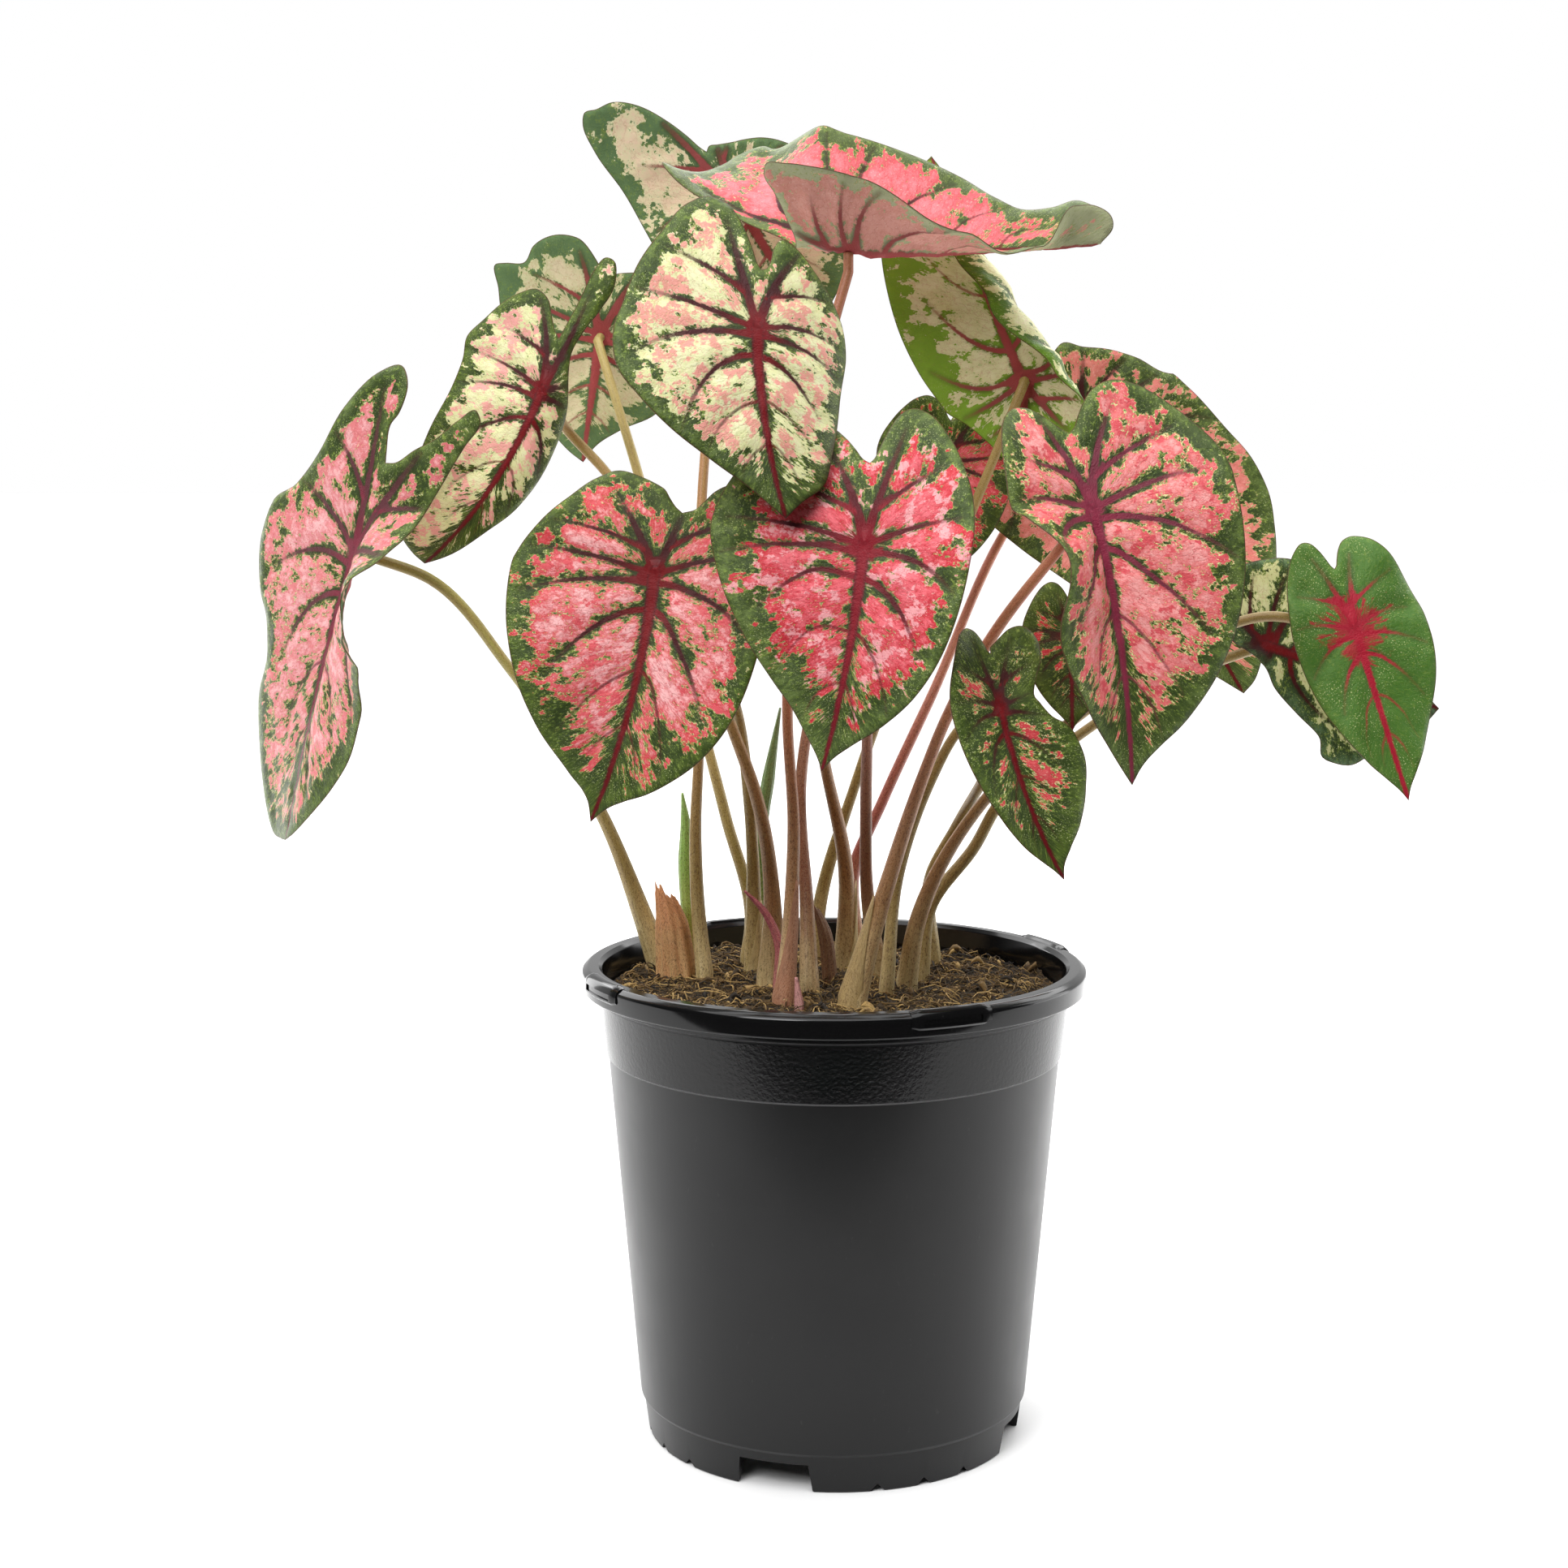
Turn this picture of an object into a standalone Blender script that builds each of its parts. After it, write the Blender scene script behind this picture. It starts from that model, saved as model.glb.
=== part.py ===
"""A potted caladium: sixteen heart-shaped blades on their petioles, growing from tubers in a filled pot.

Lengths are in millimetres until a mesh is made. The origin is on the pot's axis where the pot stands,
+X is to the right and the plant's show side faces -Y.
"""
import math

import bpy
import bmesh
import numpy as np
from mathutils import Vector
from mathutils.geometry import delaunay_2d_cdt

MM = 0.001
GAP = 0.3

# Pot
POT_SIDES = 48
RIM_TOP = 156.0
OPENING_RADIUS = 75.8
RIM_RADIUS = 82.5
LIP_BOTTOM = 148.4
BAND_BOTTOM = 126.8
SHOULDER_RADIUS = 73.9
FOOT_TOP = 11.8
WAIST_RADIUS = 64.1
FOOT_RADIUS = 61.5
WALL = 1.6
FLOOR_TOP = 13.6
DRAIN_AZIMUTH = -17.6
DRAIN_WIDTH = 25.0
DRAIN_HEIGHT = 9.0
NOTCH_OFFSETS = (-45.0, -30.5, 30.5)
NOTCH_SIZE = 3.4
FLOOR_HOLE_RADIUS = 5.0
FLOOR_HOLE_CIRCLE = 44.0
TAB_AZIMUTH = 25.5
TAB_ARC = 19.0

# Soil and tubers
SOIL_TOP = 147.0
SOIL_RELIEF = 1.2
SOIL_RINGS = 5
STEM_FOOT = 137.5
STEM_STRAIGHT_TOP = 150.0
HOLE_CLEARANCE = 0.6
TUBERS = {"left": ((-40, 20, 121.5), 17.5), "front": ((2, -12, 121.5), 18.0), "back": ((11, 33, 122), 17.0)}
TUBER_FLATTENING = 0.86

# Blades and petioles
BLADE_THICKNESS = 0.8
BLADE_GRID = 10.0
ROLLED_GRID = 7.0
PETIOLE_TOP_RADIUS = 1.6
PETIOLE_FLARE = 34.0
PETIOLE_NECK = 6.0
PETIOLE_SEAT_RADIUS = 3.0

# Half outline of a blade in unit sizes, from the tip at y 1 round a lobe at y -1 to the cleft
HEART = [(0, 1), (0.05, 0.95), (0.20, 0.855), (0.44, 0.73), (0.68, 0.57), (0.86, 0.38), (0.965, 0.17),
         (1.0, -0.04), (0.965, -0.27), (0.87, -0.50), (0.72, -0.75), (0.55, -0.93), (0.39, -1.0),
         (0.26, -0.97), (0.16, -0.88), (0.09, -0.78), (0.04, -0.70), (0, -0.67)]
SLIM_LOBE = [(0, 1), (0.07, 0.93), (0.26, 0.85), (0.58, 0.70), (0.84, 0.48), (0.96, 0.25), (0.98, 0.08),
             (0.93, -0.15), (0.81, -0.42), (0.62, -0.72), (0.42, -1.0), (0.24, -1.12), (0.08, -1.1),
             (-0.04, -0.98), (-0.1, -0.82), (-0.15, -0.70), (-0.2, -0.62)]
FULL_LOBE = [(0, 1), (0.05, 0.95), (0.20, 0.855), (0.44, 0.73), (0.68, 0.57), (0.86, 0.38), (0.965, 0.17),
             (1.0, -0.04), (0.965, -0.27), (0.87, -0.50), (0.72, -0.72), (0.58, -0.82), (0.46, -0.77),
             (0.38, -0.69), (0.3, -0.62), (0.2, -0.62)]
WAVED_SIDE = [(0, 1), (0.3, 0.85), (0.7, 0.68), (0.95, 0.52), (1.0, 0.40), (0.92, 0.27), (0.88, 0.16),
              (0.95, 0.03), (1.02, -0.12), (1.0, -0.35), (0.95, -0.6), (0.8, -0.84), (0.58, -0.97),
              (0.38, -0.97), (0.2, -0.85), (0.1, -0.75), (0, -0.67)]
MIDDLE_LEFT = [(0, 0.97), (0.05, 0.92), (0.18, 0.80), (0.42, 0.64), (0.67, 0.49), (0.86, 0.35), (0.99, 0.22),
               (1.0, 0.07), (0.95, -0.04), (0.86, -0.30), (0.73, -0.55), (0.59, -0.82), (0.47, -0.93),
               (0.33, -0.92), (0.18, -0.80), (0.08, -0.64), (0.03, -0.53), (0, -0.49)]
MIDDLE_RIGHT = [(0, 0.97), (0.16, 0.92), (0.46, 0.84), (0.64, 0.68), (0.80, 0.50), (0.93, 0.21),
                (1.02, -0.07), (0.96, -0.36), (0.76, -0.58), (0.48, -0.74), (0.28, -0.83), (0.13, -0.82),
                (0.08, -0.72), (0.07, -0.58), (0.04, -0.51), (0, -0.49)]
TORN_SIDE = [(0, 1), (0.06, 0.95), (0.28, 0.86), (0.58, 0.76), (0.85, 0.60), (1.0, 0.40), (0.94, 0.22),
             (0.66, 0.08), (0.52, -0.06), (0.60, -0.30), (0.72, -0.55), (0.70, -0.82), (0.50, -0.98),
             (0.30, -0.95), (0.14, -0.85), (0, -0.75)]
BROAD_LEFT = [(0, 1.02), (0.2, 1.04), (0.5, 1.04), (0.68, 0.96), (0.82, 0.82), (0.88, 0.64), (0.78, 0.48),
              (0.84, 0.38), (1.02, 0.28), (1.12, 0.14), (1.1, 0.03), (0.85, -0.15), (0.68, -0.36),
              (0.58, -0.63), (0.42, -0.87), (0.2, -0.98), (0.08, -0.92), (0.06, -0.78), (0.1, -0.7),
              (0.04, -0.58), (0, -0.52)]
BROAD_RIGHT = [(0, 1.02), (0.18, 0.97), (0.40, 0.87), (0.58, 0.75), (0.72, 0.6), (0.78, 0.45), (0.78, 0.28),
               (0.76, 0.1), (0.70, -0.08), (0.54, -0.2), (0.47, -0.38), (0.51, -0.6), (0.56, -0.83),
               (0.60, -1.0), (0.54, -1.04), (0.44, -0.94), (0.33, -0.79), (0.20, -0.67), (0.08, -0.55), (0, -0.52)]
CUPPED_LEFT = [(0, 1.05), (0.2, 1.08), (0.4, 1.08), (0.61, 1.0), (0.82, 0.74), (0.95, 0.45), (0.97, 0.17),
               (1.0, -0.06), (1.05, -0.33), (0.9, -0.58), (0.73, -0.77), (0.54, -0.88), (0.35, -0.92),
               (0.21, -0.80), (0.13, -0.62), (0.06, -0.5), (0, -0.44)]
CUPPED_RIGHT = [(0, 1.05), (0.16, 0.9), (0.31, 0.7), (0.5, 0.52), (0.6, 0.33), (0.55, 0.12), (0.38, -0.05),
                (0.26, -0.2), (0.22, -0.34), (0.3, -0.5), (0.47, -0.68), (0.62, -0.88), (0.6, -1.02),
                (0.46, -1.06), (0.3, -0.95), (0.14, -0.72), (0.05, -0.56), (0, -0.44)]
BACK_LEFT = [(0, 1.02), (0.1, 0.88), (0.34, 0.71), (0.69, 0.53), (0.88, 0.28), (0.97, 0), (0.96, -0.3),
             (0.85, -0.6), (0.65, -0.82), (0.45, -0.86), (0.27, -0.8), (0.16, -0.74), (0.06, -0.68),
             (0, -0.62)]
BACK_RIGHT = [(0, 1.02), (0.16, 0.96), (0.33, 0.86), (0.62, 0.62), (0.86, 0.32), (1.0, 0.03), (1.08, -0.25),
              (1.14, -0.47), (1.05, -0.50), (0.85, -0.55), (0.78, -0.72), (0.57, -0.87), (0.33, -0.88),
              (0.13, -0.75), (0.05, -0.66), (0, -0.62)]
TOP_LEFT = [(0, 1), (0.12, 1.05), (0.26, 1.03), (0.34, 0.95), (0.36, 0.84), (0.36, 0.72), (0.42, 0.57),
            (0.56, 0.43), (0.68, 0.3), (0.80, 0.2), (0.90, 0.06), (0.98, -0.25), (1.0, -0.6), (0.97, -0.95),
            (0.88, -1.22), (0.78, -1.2), (0.6, -1.0), (0.4, -0.82), (0.22, -0.72), (0.1, -0.7), (0, -0.7)]
TOP_RIGHT = [(0, 1), (0.16, 1.02), (0.36, 1.01), (0.44, 0.95), (0.38, 0.86), (0.36, 0.76), (0.47, 0.66),
             (0.65, 0.53), (0.75, 0.41), (0.83, 0.25), (0.88, 0.11), (0.93, -0.1), (1.0, -0.32),
             (1.1, -0.5), (1.15, -0.64), (1.08, -0.76), (0.88, -0.84), (0.62, -0.93), (0.43, -1.04),
             (0.32, -1.13), (0.22, -1.12), (0.14, -1.0), (0.07, -0.85), (0, -0.7)]
TALL_LOBE = [(0, 1), (0.15, 0.92), (0.42, 0.76), (0.70, 0.54), (0.9, 0.3), (0.97, 0.08), (0.96, -0.15),
             (0.94, -0.45), (0.97, -0.75), (0.93, -0.92), (0.85, -0.98), (0.72, -0.96), (0.54, -0.94),
             (0.33, -0.83), (0.17, -0.66), (0.08, -0.52), (0.03, -0.42), (0, -0.38)]
LOW_LOBE = [(0, 1), (0.15, 0.92), (0.42, 0.82), (0.72, 0.62), (0.88, 0.42), (0.93, 0.2), (0.89, -0.02),
            (0.72, -0.19), (0.57, -0.27), (0.44, -0.31), (0.26, -0.35), (0.14, -0.38), (0.05, -0.4), (0, -0.38)]
BEHIND_LEFT = [(0, 1), (0.06, 0.95), (0.22, 0.82), (0.42, 0.65), (0.6, 0.5), (0.76, 0.35), (0.9, 0.2),
               (1.0, 0.05), (1.02, -0.17), (0.98, -0.55), (0.86, -0.93), (0.7, -1.05), (0.45, -1.02),
               (0.25, -0.9), (0.1, -0.78), (0, -0.7)]
BEHIND_RIGHT = [(0, 1), (0.12, 0.98), (0.26, 0.92), (0.47, 0.81), (0.70, 0.67), (0.86, 0.54), (0.96, 0.42),
                (0.98, 0.3), (0.93, 0.18), (0.88, 0.07), (0.79, -0.04), (0.65, -0.45), (0.5, -0.72),
                (0.35, -0.9), (0.22, -1.08), (0.12, -1.02), (0.05, -0.85), (0, -0.7)]
ROLLED_LEFT = [(0, 1), (0.3, 0.95), (0.6, 0.87), (0.83, 0.75), (0.95, 0.57), (1.0, 0.38), (0.97, 0.2),
               (0.88, 0.04), (0.72, -0.2), (0.58, -0.5), (0.44, -0.85), (0.3, -0.97), (0.18, -0.9),
               (0.08, -0.78), (0, -0.67)]
FAR_LEFT = [(0, 1), (0.2, 0.96), (0.42, 0.88), (0.75, 0.72), (0.95, 0.60), (0.96, 0.50), (0.74, 0.42),
            (0.6, 0.28), (0.42, 0.12), (0.2, 0), (0.13, -0.25), (0.08, -0.5), (0, -0.6)]

# Each leaf: where its petiole meets the blade, the blade's reach in mm to the tip, to the lobes (left,
# right) and to the sides, and how it is turned in degrees: face round from the front, rise up from it,
# spin within its own plane. Fold and curl lift each side, sway bends the midrib sideways, droop and back
# bend it down at the tip and the lobes, and wave is the margin's height in mm, its count and its phase.
# An angle that changes along the blade is a list of (unit place, angle). The stem starts at its foot in
# the soil and passes the stem points on its way to the blade.
LEAVES = {
    "front_left": dict(
        at=(-54, -61, 285), tip=77, lobes=(34, 32), left=43.5, right=37.5, face=-5, rise=22, spin=-3, sway=-21,
        fold=(6, 6), curl=(10, 10), droop=25, back=15, wave=(1.5, 5, 0), full=(1, 0.8), notch=29,
        edge_left=SLIM_LOBE, edge_right=FULL_LOBE, foot=(-27, 22), flare=3.0,
        stem=[(-27, 16, 187), (-28, 12, 206), (-32, 8, 238), (-36, -3, 252), (-43, -31, 267)]),
    "front_middle": dict(
        at=(8, -78, 294), tip=67, lobes=(42, 43), left=45, right=33, face=-8, rise=20, spin=-3, sway=-13,
        fold=(5, 8), curl=(5, 5), droop=25, back=20, wave=(1, 5, 40), full=(1.3, 0.95), notch=40,
        foot=(15, 12), flare=3.0,
        stem=[(11, 2, 177), (10, -15, 208), (10, -32, 235), (9, -55, 267)]),
    "front_right": dict(
        at=(76, -60, 304), tip=83, lobes=(37, 38), left=26, right=44, face=15, rise=20, spin=9, sway=-4,
        fold=([(-1, 5), (-0.1, 10), (0.2, 42), (0.5, 22), (1, 20)], 5), curl=(0, 10), droop=25, back=10,
        wave=(1.5, 5, 0), full=(1, 0.85), edge_left=WAVED_SIDE, foot=(6, -28), flare=4.6,
        stem=[(15, -32, 182), (27, -38, 221), (34, -42, 240), (49, -47, 268), (66, -52, 291)]),
    "middle": dict(
        at=(-23, -66, 356.5), tip=60, lobes=(47, 41), left=42.5, right=33, face=12, rise=30, spin=-5, sway=20,
        fold=(4, -10), curl=(0, [(-1, -20), (0, -40), (1, -30)]), droop=25, back=10, wave=(1, 5, 0),
        edge_left=MIDDLE_LEFT, edge_right=MIDDLE_RIGHT, foot=(4, 30), flare=4.4,
        stem=[(4, 23, 182), (-3, 6, 220), (-7, -12, 245), (-15, -32, 286), (-22, -57, 343)]),
    "small_front": dict(
        at=(48, -79, 247), tip=54, lobes=(24, 25), left=17, right=21, face=12, rise=15, spin=9, sway=20,
        fold=(20, 0), droop=10, back=10, wave=(1, 5, 0), edge_right=TORN_SIDE, foot=(34, 36), flare=3.0,
        stem=[(33, 35, 178), (41, 32, 195), (48, 6, 214), (51, -42, 234)]),
    "right": dict(
        at=(163, -20, 266), tip=56, lobes=(31, 31), left=20, right=23.5, face=5, rise=15, spin=15, sway=3,
        fold=(2, 2), curl=(-10, -10), droop=10, back=15, wave=(2, 6, 0), foot=(24, 0), flare=3.6,
        stem=[(27, -2, 169), (50, -6, 212), (78, -10, 238), (108, -13, 259), (136, -15, 270)]),
    "left": dict(
        at=(-153, -10, 289), tip=96, lobes=(62, 60), left=44, right=44, face=-32, rise=3, spin=-22, sway=10,
        fold=([(-1, -5), (0, -8), (1, -30)],
              [(-1, -8), (-0.45, -5), (0.05, 48), (0.2, 42), (0.3, 30), (0.45, 24), (0.65, 22), (1, 22)]),
        wave=(1.5, 5, 0), edge_left=BROAD_LEFT, edge_right=BROAD_RIGHT, foot=(-59, 27), flare=4.2,
        stem=[(-64, 25, 165), (-76, 18, 199), (-106, 5, 252), (-130, -3, 281)]),
    "upper_left": dict(
        at=(-95, 10, 341), tip=68, lobes=(38, 45), left=30, right=24, face=-18, rise=15, spin=-18, sway=-36,
        fold=(5, [(-1, -5), (-0.4, -15), (0, -25), (1, -15)]),
        curl=(0, [(-1, -30), (0, -110), (0.5, -100), (1, -60)]), droop=20, back=10, wave=(1, 4, 0),
        edge_left=CUPPED_LEFT, edge_right=CUPPED_RIGHT, foot=(-21, 2), flare=4.2,
        stem=[(-20, -3, 172), (-24, -8, 207), (-34, -6, 236), (-77, 32, 316), (-89, 32, 329)]),
    "back_left": dict(
        at=(-82, 82, 362), tip=45, lobes=(30, 37), left=34, right=36, face=175, rise=15, spin=11,
        fold=(5, 5), wave=(1, 4, 0), edge_left=BACK_LEFT, edge_right=BACK_RIGHT, foot=(-29, 36), flare=2.9,
        stem=[(-28, 37, 160), (-37, 41, 198), (-43, 44, 221), (-68, 64, 315)]),
    "top": dict(
        at=(4, 0, 384), tip=80, lobes=(28, 62), left=38, right=54, face=0, rise=88, spin=92,
        fold=([(-1, 35), (0, 38), (0.45, 12), (0.62, -8), (0.75, 0), (0.9, 65), (1, 80)],
              [(-1, 22), (-0.6, 32), (-0.15, 54), (1, 38)]),
        droop=-4, back=-36, wave=(0.5, 5, 0), full=(1, 1.15), notch=24, edge_left=TOP_LEFT,
        edge_right=TOP_RIGHT,
        foot=(-16, -28), flare=3.4,
        stem=[(-14, -26, 176), (-13, -23, 202), (-15, -19, 239), (-11, -11, 300), (0, -2, 364)]),
    "top_back": dict(
        at=(-32.5, 60, 405), tip=51, lobes=(54.5, 54.5), left=32.5, right=33.5, face=180, rise=5, spin=-32,
        fold=(5, 5), wave=(1, 4, 0), notch=54.5, edge_left=LOW_LOBE, edge_right=TALL_LOBE, foot=(-43, 11), flare=3.2,
        stem=[(-45, 13, 169), (-46, 15, 196), (-45, 18, 221), (-44, 32, 310), (-39, 46, 365)]),
    "rolled": dict(
        at=(63, 40, 345), tip=80, lobes=(28, 24), left=32, right=33, face=180, rise=0, spin=157,
        fold=(5, [(-1, -10), (0, -10), (0.35, -30), (0.65, -60), (1, -60)]),
        curl=(0, [(-1, -100), (0, -125), (0.35, -150), (0.7, -170), (1, -150)]), wave=(1, 4, 0),
        edge_left=ROLLED_LEFT, grid=ROLLED_GRID, foot=(-7, 44), flare=2.9,
        stem=[(-4, 43, 171), (7, 42, 208), (14, 41, 229), (48, 36, 307)]),
    "back_right": dict(
        at=(87, 80, 329), tip=108, lobes=(28, 28), left=46, right=46, face=0, rise=12, spin=32, fold=(3, 3),
        droop=10, wave=(1.5, 5, 0), full=(1, 0.85), edge_left=BEHIND_LEFT, edge_right=BEHIND_RIGHT, foot=(8, 46),
        flare=2.9,
        stem=[(7, 49, 178), (17, 52, 202), (33, 58, 236), (66, 80, 303)]),
    "back_middle": dict(
        at=(38, 55, 318), tip=46, lobes=(22, 22), left=24, right=24, face=0, rise=10, spin=-8, fold=(5, 5),
        wave=(1, 4, 0), foot=(-8, -11), flare=3.0,
        stem=[(-9, -2, 176), (-11, 14, 214), (3, 40, 267), (26, 60, 299)]),
    "far_right": dict(
        at=(141, 10, 259), tip=61, lobes=(22, 24), left=30, right=29, face=5, rise=5, spin=70, fold=(3, 3),
        wave=(1, 5, 0), edge_left=FAR_LEFT, foot=(29, 16), flare=3.0,
        stem=[(32, 16, 171), (47, 16, 192), (54, 16, 205), (81, 16, 229), (110, 16, 247)]),
    "small_back": dict(
        at=(75, -12, 263), tip=30, lobes=(18, 18), left=16, right=16, face=0, rise=15, spin=0, fold=(8, 8),
        wave=(0.5, 5, 0), foot=(17, -12), flare=2.6,
        stem=[(21, -10, 188), (31, -9, 217), (39, -8, 232), (64, -7, 252)]),
}

# Young shoots and dry sheaths: foot in the soil, points above it and the radius at each, foot first
SHOOTS = {
    "dry_sheath": dict(foot=(-52, 14), path=[(-54, 14, 165), (-58, 15, 181)], radii=(6.2, 5.2, 1.8)),
    "spear_left": dict(foot=(-48, 25), path=[(-50, 25, 185), (-50, 26, 199), (-51, 27, 208)],
                       radii=(2.2, 2.5, 1.7, 0.4)),
    "spear_right": dict(foot=(-24, 29), path=[(-25, 28, 176), (-25, 27, 192), (-22, 26, 213), (-18, 25, 237)],
                        radii=(2.0, 2.2, 2.6, 2.3, 0.4)),
    "pink_sheath": dict(foot=(-18, -12), path=[(-18, -12, 165), (-23, -11, 175), (-29, -10, 181)],
                        radii=(1.8, 1.7, 1.3, 0.4)),
    "pink_bud": dict(foot=(-11, -36), path=[(-12, -36, 158)], radii=(1.6, 0.5)),
    "dark_sheath": dict(foot=(-1, 6), path=[(-3, 8, 164), (-8, 10, 176)], radii=(2.8, 2.6, 0.4)),
}


def clear_scene():
    for item in list(bpy.data.objects):
        bpy.data.objects.remove(item, do_unlink=True)
    for holder in list(bpy.data.collections):
        bpy.data.collections.remove(holder)


def new_collection(name):
    holder = bpy.data.collections.new(name)
    bpy.context.scene.collection.children.link(holder)
    return holder


def plain_material(name, colour, roughness, metallic=0.0):
    material = bpy.data.materials.new(name)
    material.use_nodes = True
    shader = material.node_tree.nodes["Principled BSDF"]
    shader.inputs["Base Color"].default_value = (*colour, 1.0)
    shader.inputs["Roughness"].default_value = roughness
    shader.inputs["Metallic"].default_value = metallic
    material.diffuse_color = (*colour, 1.0)
    return material


def new_object(name, data, holder, material=None):
    item = bpy.data.objects.new(name, data)
    holder.objects.link(item)
    if material:
        item.data.materials.append(material)
    return item


def baked(item, holder):
    """Replace an object by a mesh object of its evaluated shape, with doubled points joined."""
    shape = item.evaluated_get(bpy.context.evaluated_depsgraph_get())
    mesh = bpy.data.meshes.new_from_object(shape)
    mesh.transform(item.matrix_world)
    cage = bmesh.new()
    cage.from_mesh(mesh)
    bmesh.ops.remove_doubles(cage, verts=cage.verts, dist=0.001 * MM)
    cage.to_mesh(mesh)
    cage.free()
    name = item.name
    bpy.data.objects.remove(item, do_unlink=True)
    result = bpy.data.objects.new(name, mesh)
    holder.objects.link(result)
    return result


def smooth_curve(points, per_span):
    """Points on a smooth curve through the given ones, which may be unevenly spaced."""
    points = np.array(points, float)
    steps = np.linalg.norm(np.diff(points, axis=0), axis=1)[:, None]
    slopes = np.diff(points, axis=0) / steps
    tangents = np.empty_like(points)
    tangents[0] = slopes[0]
    tangents[-1] = slopes[-1]
    tangents[1:-1] = (slopes[1:] * steps[:-1] + slopes[:-1] * steps[1:]) / (steps[:-1] + steps[1:])
    out = []
    for k in range(len(points) - 1):
        for u in np.arange(per_span) / per_span:
            rest = (1 - u) ** 2
            out.append(points[k] * (1 + 2 * u) * rest + tangents[k] * steps[k] * u * rest
                       + points[k + 1] * u * u * (3 - 2 * u) + tangents[k + 1] * steps[k] * u * u * (u - 1))
    out.append(points[-1])
    return np.array(out)


def smooth_share(value):
    value = np.clip(value, 0, 1)
    return value * value * (3 - 2 * value)


def blade_edge(leaf):
    """The blade's closed outline in mm within its own flat plane, and the index of the cleft point."""
    right = smooth_curve(leaf.get("edge_right", HEART), 2)
    left = smooth_curve(leaf.get("edge_left", HEART), 2) * (-1, 1)
    unit = np.concatenate([right, left[-2:0:-1]])
    return flat_place(leaf, unit), len(right) - 1


def flat_place(leaf, unit):
    """Turn unit places into mm, with the blade's own sizes on either side blended across the midrib."""
    x, y = unit[:, 0], unit[:, 1]
    lobe_left, lobe_right = leaf["lobes"]
    notch = leaf.get("notch", 0.5 * (lobe_left + lobe_right))
    full_left, full_right = leaf.get("full", (1, 1))
    share = smooth_share(np.abs(x) / 0.35)
    lobe = notch + (np.where(x < 0, lobe_left, lobe_right) - notch) * share
    power = 1 + (np.where(x < 0, full_left, full_right) - 1) * share
    side = np.where(x < 0, leaf["left"], leaf["right"]) * x
    along = np.where(y > 0, leaf["tip"] * np.abs(y) ** power, lobe * y)
    return np.column_stack([side, along])


def angle_along(value, along):
    """An angle in radians, where the value may change along the blade."""
    if not isinstance(value, list):
        value = [(-1, value), (1, value)]
    angle = np.full_like(along, value[0][1], dtype=float)
    for (start, before), (end, after) in zip(value[:-1], value[1:]):
        angle += (after - before) * smooth_share((along - start) / (end - start))
    return np.radians(angle)


def arc_reach(length, start, turn):
    """How far a strip of this length goes along and up, when it starts at one angle and turns evenly."""
    turn = np.where(np.abs(turn) < 1e-6, 1e-6, turn)
    along = (np.sin(start + turn) - np.sin(start)) / turn * length
    up = (np.cos(start) - np.cos(start + turn)) / turn * length
    return along, up


def blade_axes(leaf):
    """The blade's directions to its right side, to its tip and out of its face."""
    turn, rise, spin = (math.radians(leaf[key]) for key in ("face", "rise", "spin"))
    out = np.array([math.sin(turn) * math.cos(rise), -math.cos(turn) * math.cos(rise), math.sin(rise)])
    down = np.array([math.sin(turn) * math.sin(rise), -math.cos(turn) * math.sin(rise), -math.cos(rise)])
    across = np.cross(out, down)
    side = across * math.cos(spin) - down * math.sin(spin)
    tip = down * math.cos(spin) + across * math.sin(spin)
    return side, tip, out


def blade_points(leaf, flat):
    """Bend flat places of the blade into the leaf's shape, as points in mm."""
    s, t = flat[:, 0], flat[:, 1]
    side, tip, out = blade_axes(leaf)
    left = s < 0
    reach, lobe = leaf["tip"], max(leaf["lobes"])
    along = np.where(t < 0, t / lobe, t / reach)
    share = np.abs(s) / np.where(left, leaf["left"], leaf["right"])
    fold_left, fold_right = leaf["fold"]
    curl_left, curl_right = leaf.get("curl", (0, 0))
    fold = np.where(left, angle_along(fold_left, along), angle_along(fold_right, along))
    curl = np.where(left, angle_along(curl_left, along), angle_along(curl_right, along)) * share
    sideways, lift = arc_reach(np.abs(s), fold, curl)
    sideways = sideways * np.sign(s)
    lean = (fold + curl) * np.sign(s)

    heading = np.radians(leaf.get("sway", 0)) * t / reach
    heading = np.where(np.abs(heading) < 1e-6, 1e-6, heading)
    ahead = np.sin(heading) / heading * t
    aside = (1 - np.cos(heading)) / heading * t
    bend = np.where(t > 0, np.radians(leaf.get("droop", 0)) * np.abs(t) / reach,
                    np.radians(leaf.get("back", 0)) * np.abs(t) / lobe)
    forward, drop = arc_reach(np.abs(ahead), np.zeros_like(bend), bend)
    forward = forward * np.sign(t)
    bend = (bend * np.sign(t))[:, None]
    axis = tip * np.cos(bend) - out * np.sin(bend)
    normal = out * np.cos(bend) + tip * np.sin(bend)
    cross = side * np.cos(heading)[:, None] - axis * np.sin(heading)[:, None]

    height, count, phase = leaf["wave"]
    distance = np.clip(np.hypot(share, along), 0, 1.2)
    ripple = height * distance ** 2 * np.sin(count * np.arctan2(share * np.sign(s), along) + math.radians(phase))
    lift = lift + ripple * np.cos(lean)
    sideways = sideways - ripple * np.sin(lean)
    return (np.array(leaf["at"], float) + forward[:, None] * tip - drop[:, None] * out
            + aside[:, None] * side + sideways[:, None] * cross + lift[:, None] * normal)


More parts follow.
